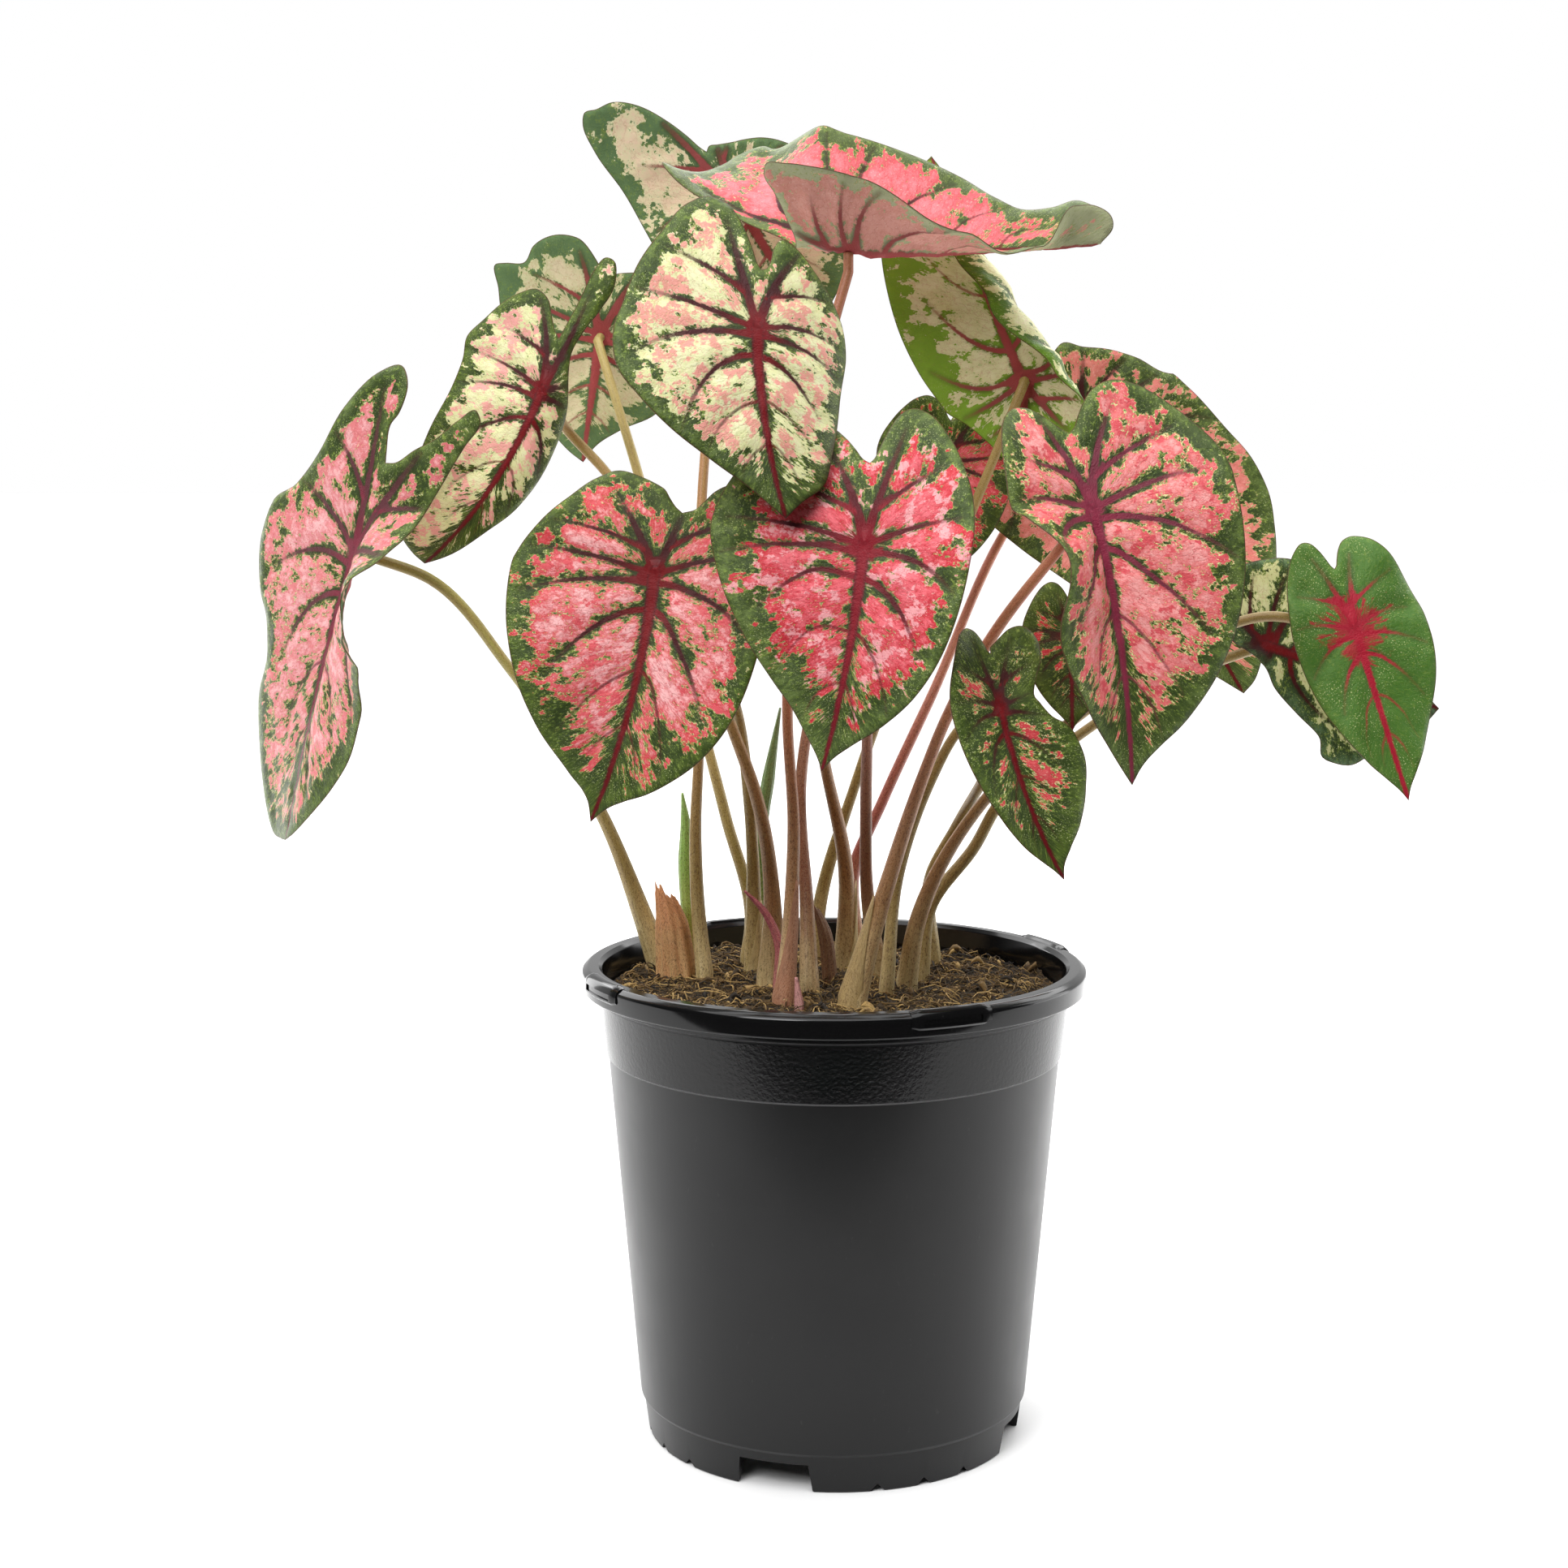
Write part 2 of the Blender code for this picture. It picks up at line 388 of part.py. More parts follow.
def inside(points, edge):
    """Which points lie inside a closed outline."""
    x, y = points[:, :1], points[:, 1:]
    ax, ay = edge.T
    bx, by = np.roll(edge, -1, axis=0).T
    crosses = (ay > y) != (by > y)
    with np.errstate(divide="ignore", invalid="ignore"):
        hit = x < ax + (y - ay) / (by - ay) * (bx - ax)
    return np.sum(crosses & hit, axis=1) % 2 == 1


def blade_net(leaf):
    """Triangles that fill the flat blade, with an edge along its midrib."""
    edge, cleft = blade_edge(leaf)
    grid = leaf.get("grid", BLADE_GRID)
    rows = np.arange(-12, 16)
    columns = np.arange(-8, 9)
    places = np.array([((i + 0.5 * (j % 2)) * grid, j * grid * 0.866) for j in rows for i in columns])
    far_from_edge = np.min(np.linalg.norm(places[:, None] - edge[None], axis=2), axis=1) > 0.5 * grid
    far_from_midrib = np.abs(places[:, 0]) > 0.45 * grid
    places = places[inside(places, edge) & far_from_edge & far_from_midrib]
    rib_count = max(3, round((edge[0, 1] - edge[cleft, 1]) / grid))
    rib = np.column_stack([np.zeros(rib_count - 1), np.linspace(edge[cleft, 1], edge[0, 1], rib_count + 1)[1:-1]])
    points = np.concatenate([edge, rib, places])
    rib_chain = [cleft, *range(len(edge), len(edge) + len(rib)), 0]
    rib_edges = list(zip(rib_chain[:-1], rib_chain[1:]))
    flat, _, faces, *_ = delaunay_2d_cdt([Vector(p) for p in points], rib_edges, [list(range(len(edge)))],
                                         1, 1e-4)
    return np.array([tuple(p) for p in flat]), faces


def make_blade(name, leaf, holder, material):
    flat, faces = blade_net(leaf)
    points = blade_points(leaf, flat) * MM
    mesh = bpy.data.meshes.new(name)
    mesh.from_pydata([tuple(p) for p in points], [], faces)
    mesh.shade_smooth()
    item = new_object(name, mesh, holder, material)
    solid = item.modifiers.new("thickness", "SOLIDIFY")
    solid.thickness = BLADE_THICKNESS * MM
    solid.offset = 0.0
    return item


def make_tube(name, points, radii, holder, material):
    """A round tube through the points, with a radius at each and closed ends."""
    curve = bpy.data.curves.new(name, "CURVE")
    curve.dimensions = "3D"
    curve.bevel_depth = 1.0
    curve.bevel_resolution = 2
    curve.use_fill_caps = True
    spline = curve.splines.new("POLY")
    spline.points.add(len(points) - 1)
    for place, point, radius in zip(spline.points, points, radii):
        place.co = (*(np.array(point) * MM), 1.0)
        place.radius = radius * MM
    item = new_object(name, curve, holder)
    item = baked(item, holder)
    item.data.materials.append(material)
    item.data.shade_smooth()
    return item


def petiole_route(leaf):
    """Points up the petiole, from its foot in the soil to just short of the blade."""
    out = blade_axes(leaf)[2]
    top = np.array(leaf["at"], float)
    turns = np.linspace(0, 2 * math.pi, 16, endpoint=False)
    around = np.column_stack([np.cos(turns), np.sin(turns)]) * PETIOLE_SEAT_RADIUS
    lowest = min(0.0, float(np.min((blade_points(leaf, around) - top) @ out)))
    reach = 0.5 * BLADE_THICKNESS + GAP - lowest
    foot = leaf["foot"]
    posts = [(*foot, STEM_STRAIGHT_TOP), *leaf["stem"], tuple(top - out * PETIOLE_NECK)]
    bend = smooth_curve(posts, 2)
    return np.concatenate([[(*foot, STEM_FOOT)], bend, [top - out * reach]])


def make_petiole(name, leaf, holder, material):
    route = petiole_route(leaf)
    height = np.maximum(route[:, 2] - STEM_STRAIGHT_TOP, 0)
    radii = PETIOLE_TOP_RADIUS + (leaf["flare"] - PETIOLE_TOP_RADIUS) * np.exp(-height / PETIOLE_FLARE)
    return make_tube(name, route, radii, holder, material)


def make_shoot(name, shoot, holder, material):
    foot = shoot["foot"]
    first, *rest = shoot["radii"]
    points = [(*foot, STEM_STRAIGHT_TOP), *shoot["path"]]
    bend = smooth_curve(points, 3)
    places = np.linspace(0, len(points) - 1, len(bend))
    radii = np.interp(places, np.arange(len(points)), [first, *rest])
    route = np.concatenate([[(*foot, STEM_FOOT)], bend])
    return make_tube(name, route, [first, *radii], holder, material)


def turned(name, profile, holder, sides=POT_SIDES):
    """Spin a profile of (radius, height) round the Z axis."""
    mesh = bpy.data.meshes.new(name)
    points = [(r * MM, 0.0, z * MM) for r, z in profile]
    mesh.from_pydata(points, [(k, k + 1) for k in range(len(points) - 1)], [])
    item = new_object(name, mesh, holder)
    spin = item.modifiers.new("turn", "SCREW")
    spin.steps = sides
    spin.render_steps = sides
    spin.use_merge_vertices = True
    spin.merge_threshold = 0.001 * MM
    return baked(item, holder)


def box_cutter(name, centre, size, azimuth, holder):
    """A box at a place that is turned about the pot's axis, azimuth counted from the front."""
    mesh = bpy.data.meshes.new(name)
    cage = bmesh.new()
    bmesh.ops.create_cube(cage, size=1.0)
    turn = math.radians(azimuth)
    for vertex in cage.verts:
        x = vertex.co.x * size[0] + centre[0]
        y = vertex.co.y * size[1] + centre[1]
        z = vertex.co.z * size[2] + centre[2]
        vertex.co = (MM * (x * math.cos(turn) - y * math.sin(turn)),
                     MM * (x * math.sin(turn) + y * math.cos(turn)), MM * z)
    cage.to_mesh(mesh)
    cage.free()
    return hidden(new_object(name, mesh, holder))


def rod_cutter(name, x, y, low, high, radius, holder, sides=12):
    mesh = bpy.data.meshes.new(name)
    cage = bmesh.new()
    bmesh.ops.create_cone(cage, cap_ends=True, segments=sides, radius1=radius * MM, radius2=radius * MM,
                          depth=(high - low) * MM)
    bmesh.ops.translate(cage, verts=cage.verts, vec=(x * MM, y * MM, 0.5 * (low + high) * MM))
    cage.to_mesh(mesh)
    cage.free()
    return hidden(new_object(name, mesh, holder))


def hidden(item):
    item.hide_render = True
    item.display_type = "WIRE"
    return item


def cut(item, cutters, operation="DIFFERENCE"):
    for cutter in cutters:
        step = item.modifiers.new("cut " + cutter.name, "BOOLEAN")
        step.operation = operation
        step.solver = "EXACT"
        step.object = cutter


def wall_radius(z):
    """Outer radius of the pot's tapered wall."""
    share = (z - FOOT_TOP) / (BAND_BOTTOM - FOOT_TOP)
    return WAIST_RADIUS + (SHOULDER_RADIUS - WAIST_RADIUS) * share


def pot_profile():
    """Outside from the rim down to the foot, under the floor, then up the inside."""
    band_top = wall_radius(LIP_BOTTOM) + 0.9
    foot_inner = FOOT_RADIUS - 2.0
    return [(OPENING_RADIUS + 0.3, RIM_TOP), (79.6, RIM_TOP), (81.6, RIM_TOP - 0.6), (RIM_RADIUS, 153.8),
            (82.3, 150.2), (81.5, LIP_BOTTOM), (80.4, LIP_BOTTOM - 0.3), (band_top + 0.6, LIP_BOTTOM - 0.3),
            (band_top, LIP_BOTTOM - 1.2), (wall_radius(BAND_BOTTOM) + 0.6, BAND_BOTTOM + 0.5),
            (wall_radius(BAND_BOTTOM), BAND_BOTTOM), (WAIST_RADIUS, FOOT_TOP + 0.8),
            (FOOT_RADIUS + 1.6, FOOT_TOP), (FOOT_RADIUS, 0.0), (foot_inner, 0.0), (foot_inner, FOOT_TOP),
            (0.0, FOOT_TOP), (0.0, FLOOR_TOP), (wall_radius(FLOOR_TOP) - WALL, FLOOR_TOP),
            (wall_radius(LIP_BOTTOM) - WALL + 0.6, LIP_BOTTOM), (OPENING_RADIUS, RIM_TOP - 0.3),
            (OPENING_RADIUS + 0.3, RIM_TOP)]


def rim_tab(name, azimuth, holder):
    """A low raised pad on the rim's outer edge, as a bent bar that the rim is joined to."""
    steps = 6
    mesh = bpy.data.meshes.new(name)
    cage = bmesh.new()
    section = [(78.0, 152.0), (RIM_RADIUS + 0.2, 151.2), (RIM_RADIUS + 0.8, 152.2), (RIM_RADIUS + 0.5, 154.6),
               (81.8, 156.3), (80.2, 156.9), (78.0, 156.5)]
    rings = []
    for k in range(steps + 1):
        turn = math.radians(azimuth - 90 + TAB_ARC * (k / steps - 0.5))
        rings.append([cage.verts.new((r * MM * math.cos(turn), r * MM * math.sin(turn), z * MM))
                      for r, z in section])
    for before, after in zip(rings[:-1], rings[1:]):
        for k in range(len(section)):
            n = (k + 1) % len(section)
            cage.faces.new((before[k], after[k], after[n], before[n]))
    cage.faces.new(rings[0])
    cage.faces.new(rings[-1][::-1])
    bmesh.ops.recalc_face_normals(cage, faces=cage.faces)
    cage.to_mesh(mesh)
    cage.free()
    return hidden(new_object(name, mesh, holder))


def make_pot(holder, cutters, material):
    pot = turned("pot", pot_profile(), holder)
    tools = []
    for quarter in range(4):
        azimuth = DRAIN_AZIMUTH + 90 * quarter
        centre = (0, -FOOT_RADIUS, 0.5 * DRAIN_HEIGHT - 1)
        tools.append(box_cutter(f"drain_{quarter}", centre, (DRAIN_WIDTH, 12, DRAIN_HEIGHT + 2), azimuth, cutters))
        for k, offset in enumerate(NOTCH_OFFSETS):
            tools.append(notch_cutter(f"notch_{quarter}_{k}", azimuth + offset, cutters))
        turn = math.radians(azimuth - 90)
        x, y = FLOOR_HOLE_CIRCLE * math.cos(turn), FLOOR_HOLE_CIRCLE * math.sin(turn)
        tools.append(rod_cutter(f"floor_hole_{quarter}", x, y, 8, 18, FLOOR_HOLE_RADIUS, cutters))
    cut(pot, tools)
    tabs = [rim_tab(f"rim_tab_{k}", TAB_AZIMUTH + 90 * k, cutters) for k in range(4)]
    cut(pot, tabs, "UNION")
    pot = baked(pot, holder)
    pot.data.materials.append(material)
    pot.data.shade_smooth()
    pot.data.set_sharp_from_angle(angle=math.radians(35))
    return pot


def notch_cutter(name, azimuth, holder):
    """A small V-shaped notch in the foot's edge: a square bar turned on its corner."""
    turn = math.radians(azimuth)
    mesh = bpy.data.meshes.new(name)
    cage = bmesh.new()
    bmesh.ops.create_cube(cage, size=1.0)
    for vertex in cage.verts:
        a = vertex.co.x * NOTCH_SIZE
        b = vertex.co.z * NOTCH_SIZE
        x = (a - b) * 0.7071
        z = (a + b) * 0.7071
        y = vertex.co.y * 10 - FOOT_RADIUS
        vertex.co = (MM * (x * math.cos(turn) - y * math.sin(turn)),
                     MM * (x * math.sin(turn) + y * math.cos(turn)), MM * z)
    cage.to_mesh(mesh)
    cage.free()
    return hidden(new_object(name, mesh, holder))


def soil_height(x, y):
    """The soil's gentle relief in mm above its mean level."""
    return SOIL_RELIEF * (0.6 * math.sin(0.13 * x + 0.9) * math.cos(0.11 * y - 0.4)
                          + 0.4 * math.sin(0.29 * x - 0.21 * y))


def make_soil(holder, cutters, material):
    side = wall_radius(SOIL_TOP) - WALL - GAP
    bottom = wall_radius(FLOOR_TOP) - WALL - GAP
    rings = [(side * k / SOIL_RINGS, SOIL_TOP) for k in range(SOIL_RINGS)]
    profile = [*rings, (side, SOIL_TOP), (bottom, FLOOR_TOP + GAP), (0.0, FLOOR_TOP + GAP)]
    soil = turned("soil", profile, holder)
    for vertex in soil.data.vertices:
        x, y, z = (c / MM for c in vertex.co)
        if z > SOIL_TOP - 1 and math.hypot(x, y) < side - 1:
            vertex.co.z = (z + soil_height(x, y)) * MM
    tools = []
    for name, (centre, radius) in TUBERS.items():
        tools.append(hidden(tuber_ball("cavity_" + name, centre, radius + 0.5, cutters, knobs=0)))
    for name, leaf in LEAVES.items():
        low = STEM_FOOT - GAP
        for centre, radius in TUBERS.values():
            if math.dist(leaf["foot"], centre[:2]) < 0.6 * radius:
                low = centre[2]
        tools.append(rod_cutter("hole_" + name, *leaf["foot"], low, RIM_TOP, leaf["flare"] + HOLE_CLEARANCE,
                                cutters))
    for name, shoot in SHOOTS.items():
        radius = shoot["radii"][0] + HOLE_CLEARANCE
        tools.append(rod_cutter("hole_" + name, *shoot["foot"], STEM_FOOT - GAP, RIM_TOP, radius, cutters))
    cut(soil, tools)
    soil = baked(soil, holder)
    soil.data.materials.append(material)
    soil.data.shade_smooth()
    soil.data.set_sharp_from_angle(angle=math.radians(40))
    return soil


def tuber_ball(name, centre, radius, holder, knobs=1.0):
    """A flattened round tuber, its skin lowered here and there into knobs."""
    mesh = bpy.data.meshes.new(name)
    cage = bmesh.new()
    bmesh.ops.create_uvsphere(cage, u_segments=14, v_segments=9, radius=radius * MM)
    for vertex in cage.verts:
        x, y, z = vertex.co
        dent = 1 - 0.06 * knobs * (1 + math.sin(430 * x + 1) * math.cos(390 * y) * math.sin(310 * z + 2))
        vertex.co = (x * dent + centre[0] * MM, y * dent + centre[1] * MM,
                     z * dent * TUBER_FLATTENING + centre[2] * MM)
    cage.to_mesh(mesh)
    cage.free()
    mesh.shade_smooth()
    return new_object(name, mesh, holder)


def make_tubers(holder, material):
    for name, (centre, radius) in TUBERS.items():
        item = tuber_ball("tuber_" + name, centre, radius, holder)
        item.data.materials.append(material)


BLADE_COLOURS = {"front_left": (0.72, 0.10, 0.12), "front_middle": (0.75, 0.12, 0.14),
                 "front_right": (0.72, 0.13, 0.15), "middle": (0.72, 0.50, 0.40),
                 "small_front": (0.20, 0.28, 0.10), "right": (0.16, 0.25, 0.08),
                 "left": (0.62, 0.14, 0.16), "upper_left": (0.70, 0.48, 0.38),
                 "back_left": (0.55, 0.47, 0.36), "top": (0.58, 0.30, 0.24),
                 "top_back": (0.50, 0.46, 0.34), "rolled": (0.50, 0.42, 0.28),
                 "back_right": (0.66, 0.16, 0.19), "back_middle": (0.66, 0.22, 0.22),
                 "far_right": (0.40, 0.30, 0.18), "small_back": (0.20, 0.22, 0.09)}
SHOOT_COLOURS = {"dry_sheath": (0.42, 0.20, 0.10), "spear_left": (0.22, 0.45, 0.10),
                 "spear_right": (0.16, 0.33, 0.13), "pink_sheath": (0.50, 0.10, 0.17),
                 "pink_bud": (0.50, 0.12, 0.17), "dark_sheath": (0.14, 0.06, 0.04)}


def main():
    clear_scene()
    plant = new_collection("potted_caladium")
    cutters = new_collection("cutters")
    make_pot(plant, cutters, plain_material("pot_plastic", (0.012, 0.012, 0.013), 0.35))
    make_soil(plant, cutters, plain_material("soil", (0.09, 0.045, 0.02), 0.95))
    make_tubers(plant, plain_material("tuber_skin", (0.16, 0.09, 0.05), 0.8))
    for name, leaf in LEAVES.items():
        make_blade("blade_" + name, leaf, plant, plain_material("blade_" + name, BLADE_COLOURS[name], 0.45))
        make_petiole("petiole_" + name, leaf, plant, plain_material("petiole_" + name, (0.30, 0.17, 0.09), 0.5))
    for name, shoot in SHOOTS.items():
        make_shoot(name, shoot, plant, plain_material(name, SHOOT_COLOURS[name], 0.6))


main()
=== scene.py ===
"""Looks of the potted caladium: blades, stems, soil, pot, floor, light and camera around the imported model."""

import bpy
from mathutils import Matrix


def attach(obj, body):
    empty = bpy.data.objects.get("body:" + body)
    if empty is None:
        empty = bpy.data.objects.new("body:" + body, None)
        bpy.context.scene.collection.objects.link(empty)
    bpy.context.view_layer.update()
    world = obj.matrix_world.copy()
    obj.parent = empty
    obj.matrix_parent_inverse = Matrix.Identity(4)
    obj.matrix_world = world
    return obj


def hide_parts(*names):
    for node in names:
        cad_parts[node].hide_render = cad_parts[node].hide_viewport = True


bl_info = {
    "name": "Potted Caladium",
    "version": (1, 0, 0),
    "blender": (4, 5, 0),
    "location": "View3D > Sidebar > Caladium",
    "description": "Dresses a caladium in its nursery pot with veined blades, specked stems and fibrous soil",
    "category": "Object",
}

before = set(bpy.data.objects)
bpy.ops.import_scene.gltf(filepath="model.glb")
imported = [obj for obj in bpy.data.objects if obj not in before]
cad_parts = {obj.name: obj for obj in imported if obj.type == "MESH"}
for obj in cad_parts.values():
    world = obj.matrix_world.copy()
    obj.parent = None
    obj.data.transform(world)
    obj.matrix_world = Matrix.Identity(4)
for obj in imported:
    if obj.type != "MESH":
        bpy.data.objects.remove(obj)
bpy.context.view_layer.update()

import math

import bpy
import bmesh
import numpy as np
from bpy.props import FloatProperty, FloatVectorProperty, IntProperty, PointerProperty
from mathutils import Vector, noise
from mathutils.geometry import delaunay_2d_cdt

MM = 0.001
BODY = "root"
TINY = 1e-6
NODES_IN_ROW = 12

# Camera: where it stands in mm, how it is turned in degrees and its lens in mm
CAMERA_PLACE = (-4.0, -800.0, 316.5)
CAMERA_PITCH = 7.264
CAMERA_TURN = 0.884
CAMERA_LENS = 56.96
CAMERA_SENSOR = 36.0

# Pot, in mm and degrees, with the number of steps in a pad and the share of it that its bed takes
POT_SIDES = 180
RIM_TOP = 156.0
OPENING_RADIUS = 75.8
RIM_RADIUS = 82.5
LIP_BOTTOM = 148.4
BAND_BOTTOM = 126.8
BAND_TOP = 145.0
RIM_START = 146.0
SHOULDER_RADIUS = 73.9
FOOT_TOP = 11.8
WAIST_RADIUS = 64.1
FOOT_RADIUS = 61.5
WALL = 1.6
FLOOR_TOP = 13.6
DRAIN_AZIMUTH = -17.6
DRAIN_WIDTH = 25.0
DRAIN_HEIGHT = 9.0
DRAIN_DEPTH = 12
DRAIN_BELOW = 1.5
DRAIN_TOP_SHARE = 0.90
NOTCH_OFFSETS = (-45.0, -30.5, 30.5)
NOTCH_SIZE = 3.4
FLOOR_HOLE_RADIUS = 5.0
FLOOR_HOLE_CIRCLE = 44.0
FLOOR_HOLE_LENGTH = 10
FLOOR_HOLE_MIDDLE = 13
TAB_AZIMUTH = 25.5
TAB_ARC = 19.0
TAB_STEPS = 24
TAB_MIDDLE = (80.6, 153.6)
BED_SHARE = 0.72
BED_OFFSET = 0.65
BED_DEPTH = 0.8
BED_MIDDLE = 153.0
BED_HEIGHT = 2.0
SLANT = 0.7071
SHARP_ANGLE = 32

# Soil, in mm: its fibres have lengths and half widths, and its chips are short and wide
SOIL_TOP = 147.0
SOIL_RELIEF = 1.2
SOIL_GRID = 1.0
SOIL_SIDES = 240
FIBRE_STEPS = 5
LONG_FIBRE = ((8, 20), (0.16, 0.32))
SHORT_FIBRE = ((3, 9), (0.12, 0.34))
CHIP = ((3.5, 8), (0.7, 1.5))
LONG_FIBRE_SHARE = 0.22
CHIP_SHARE = 0.035
FIBRE_BEND = 0.34
CHIP_BEND = 0.05

# Blades and petioles, in mm apart from counts and shares: a blade's bulges have a scale, a shift with its
# seed and a depth
EDGE_DETAIL = 7
ROW_SHARE = 0.866
CLEAR_SHARE = 0.6
WAVE_LIMIT = 1.2
EDGE_FADE_WIDTH = 4
QUILT_WIDTH = 5
BULGES = ((0.16, 7.3, 0.45), (0.34, 3.1, 0.35))
FULL_BLADE_WIDTH = 70
BEND_JITTER = 0.03
END_JITTER = 0.05
VEIN_STEP = 1.6
VEIN_END_MARGIN = 1.2
SHORTEST_VEIN = 4
GROOVE_DEPTH = 0.12
SIDE_RIB_SHARE = 0.55
PETIOLE_TOP_RADIUS = 1.6
PETIOLE_FLARE = 34.0
PETIOLE_NECK = 6.0
PETIOLE_SEAT_RADIUS = 3.0
PETIOLE_SIDES = 20
STEM_FOOT = 137.5
STEM_STRAIGHT_TOP = 150.0
CAD_HALF_BLADE = 0.4
GAP = 0.3
TIP_OVERLAP = 0.75
SEAT_POINTS = 16
STEM_DETAIL = 12
SHOOT_DETAIL = 10
SEED_SPACING = 40.0
TUBE_SPACING = 13.0

# Half outline of a blade in unit sizes, from the tip at y 1 round a lobe at y -1 to the cleft
HEART = [(0, 1), (0.05, 0.95), (0.20, 0.855), (0.44, 0.73), (0.68, 0.57), (0.86, 0.38), (0.965, 0.17),
         (1.0, -0.04), (0.965, -0.27), (0.87, -0.50), (0.72, -0.75), (0.55, -0.93), (0.39, -1.0),
         (0.26, -0.97), (0.16, -0.88), (0.09, -0.78), (0.04, -0.70), (0, -0.67)]
SLIM_LOBE = [(0, 1), (0.07, 0.93), (0.26, 0.85), (0.58, 0.70), (0.84, 0.48), (0.96, 0.25), (0.98, 0.08),
             (0.93, -0.15), (0.81, -0.42), (0.62, -0.72), (0.42, -1.0), (0.24, -1.12), (0.08, -1.1),
             (-0.04, -0.98), (-0.1, -0.82), (-0.15, -0.70), (-0.2, -0.62)]
FULL_LOBE = [*HEART[:10], (0.72, -0.72), (0.58, -0.82), (0.46, -0.77), (0.38, -0.69), (0.3, -0.62),
             (0.2, -0.62)]
WAVED_SIDE = [(0, 1), (0.3, 0.85), (0.7, 0.68), (0.95, 0.52), (1.0, 0.40), (0.92, 0.27), (0.88, 0.16),
              (0.95, 0.03), (1.02, -0.12), (1.0, -0.35), (0.95, -0.6), (0.8, -0.84), (0.58, -0.97),
              (0.38, -0.97), (0.2, -0.85), (0.1, -0.75), (0, -0.67)]
MIDDLE_LEFT = [(0, 0.97), (0.05, 0.92), (0.18, 0.80), (0.42, 0.64), (0.67, 0.49), (0.86, 0.35), (0.99, 0.22),
               (1.0, 0.07), (0.95, -0.04), (0.86, -0.30), (0.73, -0.55), (0.59, -0.82), (0.47, -0.93),
               (0.33, -0.92), (0.18, -0.80), (0.08, -0.64), (0.03, -0.53), (0, -0.49)]
MIDDLE_RIGHT = [(0, 0.97), (0.16, 0.92), (0.46, 0.84), (0.64, 0.68), (0.80, 0.50), (0.93, 0.21),
                (1.02, -0.07), (0.96, -0.36), (0.76, -0.58), (0.48, -0.74), (0.28, -0.83), (0.13, -0.82),
                (0.08, -0.72), (0.07, -0.58), (0.04, -0.51), (0, -0.49)]
TORN_SIDE = [(0, 1), (0.06, 0.95), (0.28, 0.86), (0.58, 0.76), (0.85, 0.60), (1.0, 0.40), (0.94, 0.22),
             (0.66, 0.08), (0.52, -0.06), (0.60, -0.30), (0.72, -0.55), (0.70, -0.82), (0.50, -0.98),
             (0.30, -0.95), (0.14, -0.85), (0, -0.75)]
BROAD_LEFT = [(0, 1.02), (0.2, 1.04), (0.5, 1.04), (0.68, 0.96), (0.82, 0.82), (0.88, 0.64), (0.78, 0.48),
              (0.84, 0.38), (1.02, 0.28), (1.12, 0.14), (1.1, 0.03), (0.85, -0.15), (0.68, -0.36),
              (0.58, -0.63), (0.42, -0.87), (0.2, -0.98), (0.08, -0.92), (0.06, -0.78), (0.1, -0.7),
              (0.04, -0.58), (0, -0.52)]
BROAD_RIGHT = [(0, 1.02), (0.18, 0.97), (0.40, 0.87), (0.58, 0.75), (0.72, 0.6), (0.78, 0.45), (0.78, 0.28),
               (0.76, 0.1), (0.70, -0.08), (0.54, -0.2), (0.47, -0.38), (0.51, -0.6), (0.56, -0.83),
               (0.60, -1.0), (0.54, -1.04), (0.44, -0.94), (0.33, -0.79), (0.20, -0.67), (0.08, -0.55),
               (0, -0.52)]
CUPPED_LEFT = [(0, 1.05), (0.2, 1.08), (0.4, 1.08), (0.61, 1.0), (0.82, 0.74), (0.95, 0.45), (0.97, 0.17),
               (1.0, -0.06), (1.05, -0.33), (0.9, -0.58), (0.73, -0.77), (0.54, -0.88), (0.35, -0.92),
               (0.21, -0.80), (0.13, -0.62), (0.06, -0.5), (0, -0.44)]
CUPPED_RIGHT = [(0, 1.05), (0.16, 0.9), (0.31, 0.7), (0.5, 0.52), (0.6, 0.33), (0.55, 0.12), (0.38, -0.05),
                (0.26, -0.2), (0.22, -0.34), (0.3, -0.5), (0.47, -0.68), (0.62, -0.88), (0.6, -1.02),
                (0.46, -1.06), (0.3, -0.95), (0.14, -0.72), (0.05, -0.56), (0, -0.44)]
BACK_LEFT = [(0, 1.02), (0.1, 0.88), (0.34, 0.71), (0.69, 0.53), (0.88, 0.28), (0.97, 0), (0.96, -0.3),
             (0.85, -0.6), (0.65, -0.82), (0.45, -0.86), (0.27, -0.8), (0.16, -0.74), (0.06, -0.68),
             (0, -0.62)]
BACK_RIGHT = [(0, 1.02), (0.16, 0.96), (0.33, 0.86), (0.62, 0.62), (0.86, 0.32), (1.0, 0.03), (1.08, -0.25),
              (1.14, -0.47), (1.05, -0.50), (0.85, -0.55), (0.78, -0.72), (0.57, -0.87), (0.33, -0.88),
              (0.13, -0.75), (0.05, -0.66), (0, -0.62)]
TOP_LEFT = [(0, 1), (0.12, 1.05), (0.26, 1.03), (0.34, 0.95), (0.36, 0.84), (0.36, 0.72), (0.42, 0.57),
            (0.56, 0.43), (0.68, 0.3), (0.80, 0.2), (0.90, 0.06), (0.98, -0.25), (1.0, -0.6), (0.97, -0.95),
            (0.88, -1.22), (0.78, -1.2), (0.6, -1.0), (0.4, -0.82), (0.22, -0.72), (0.1, -0.7), (0, -0.7)]
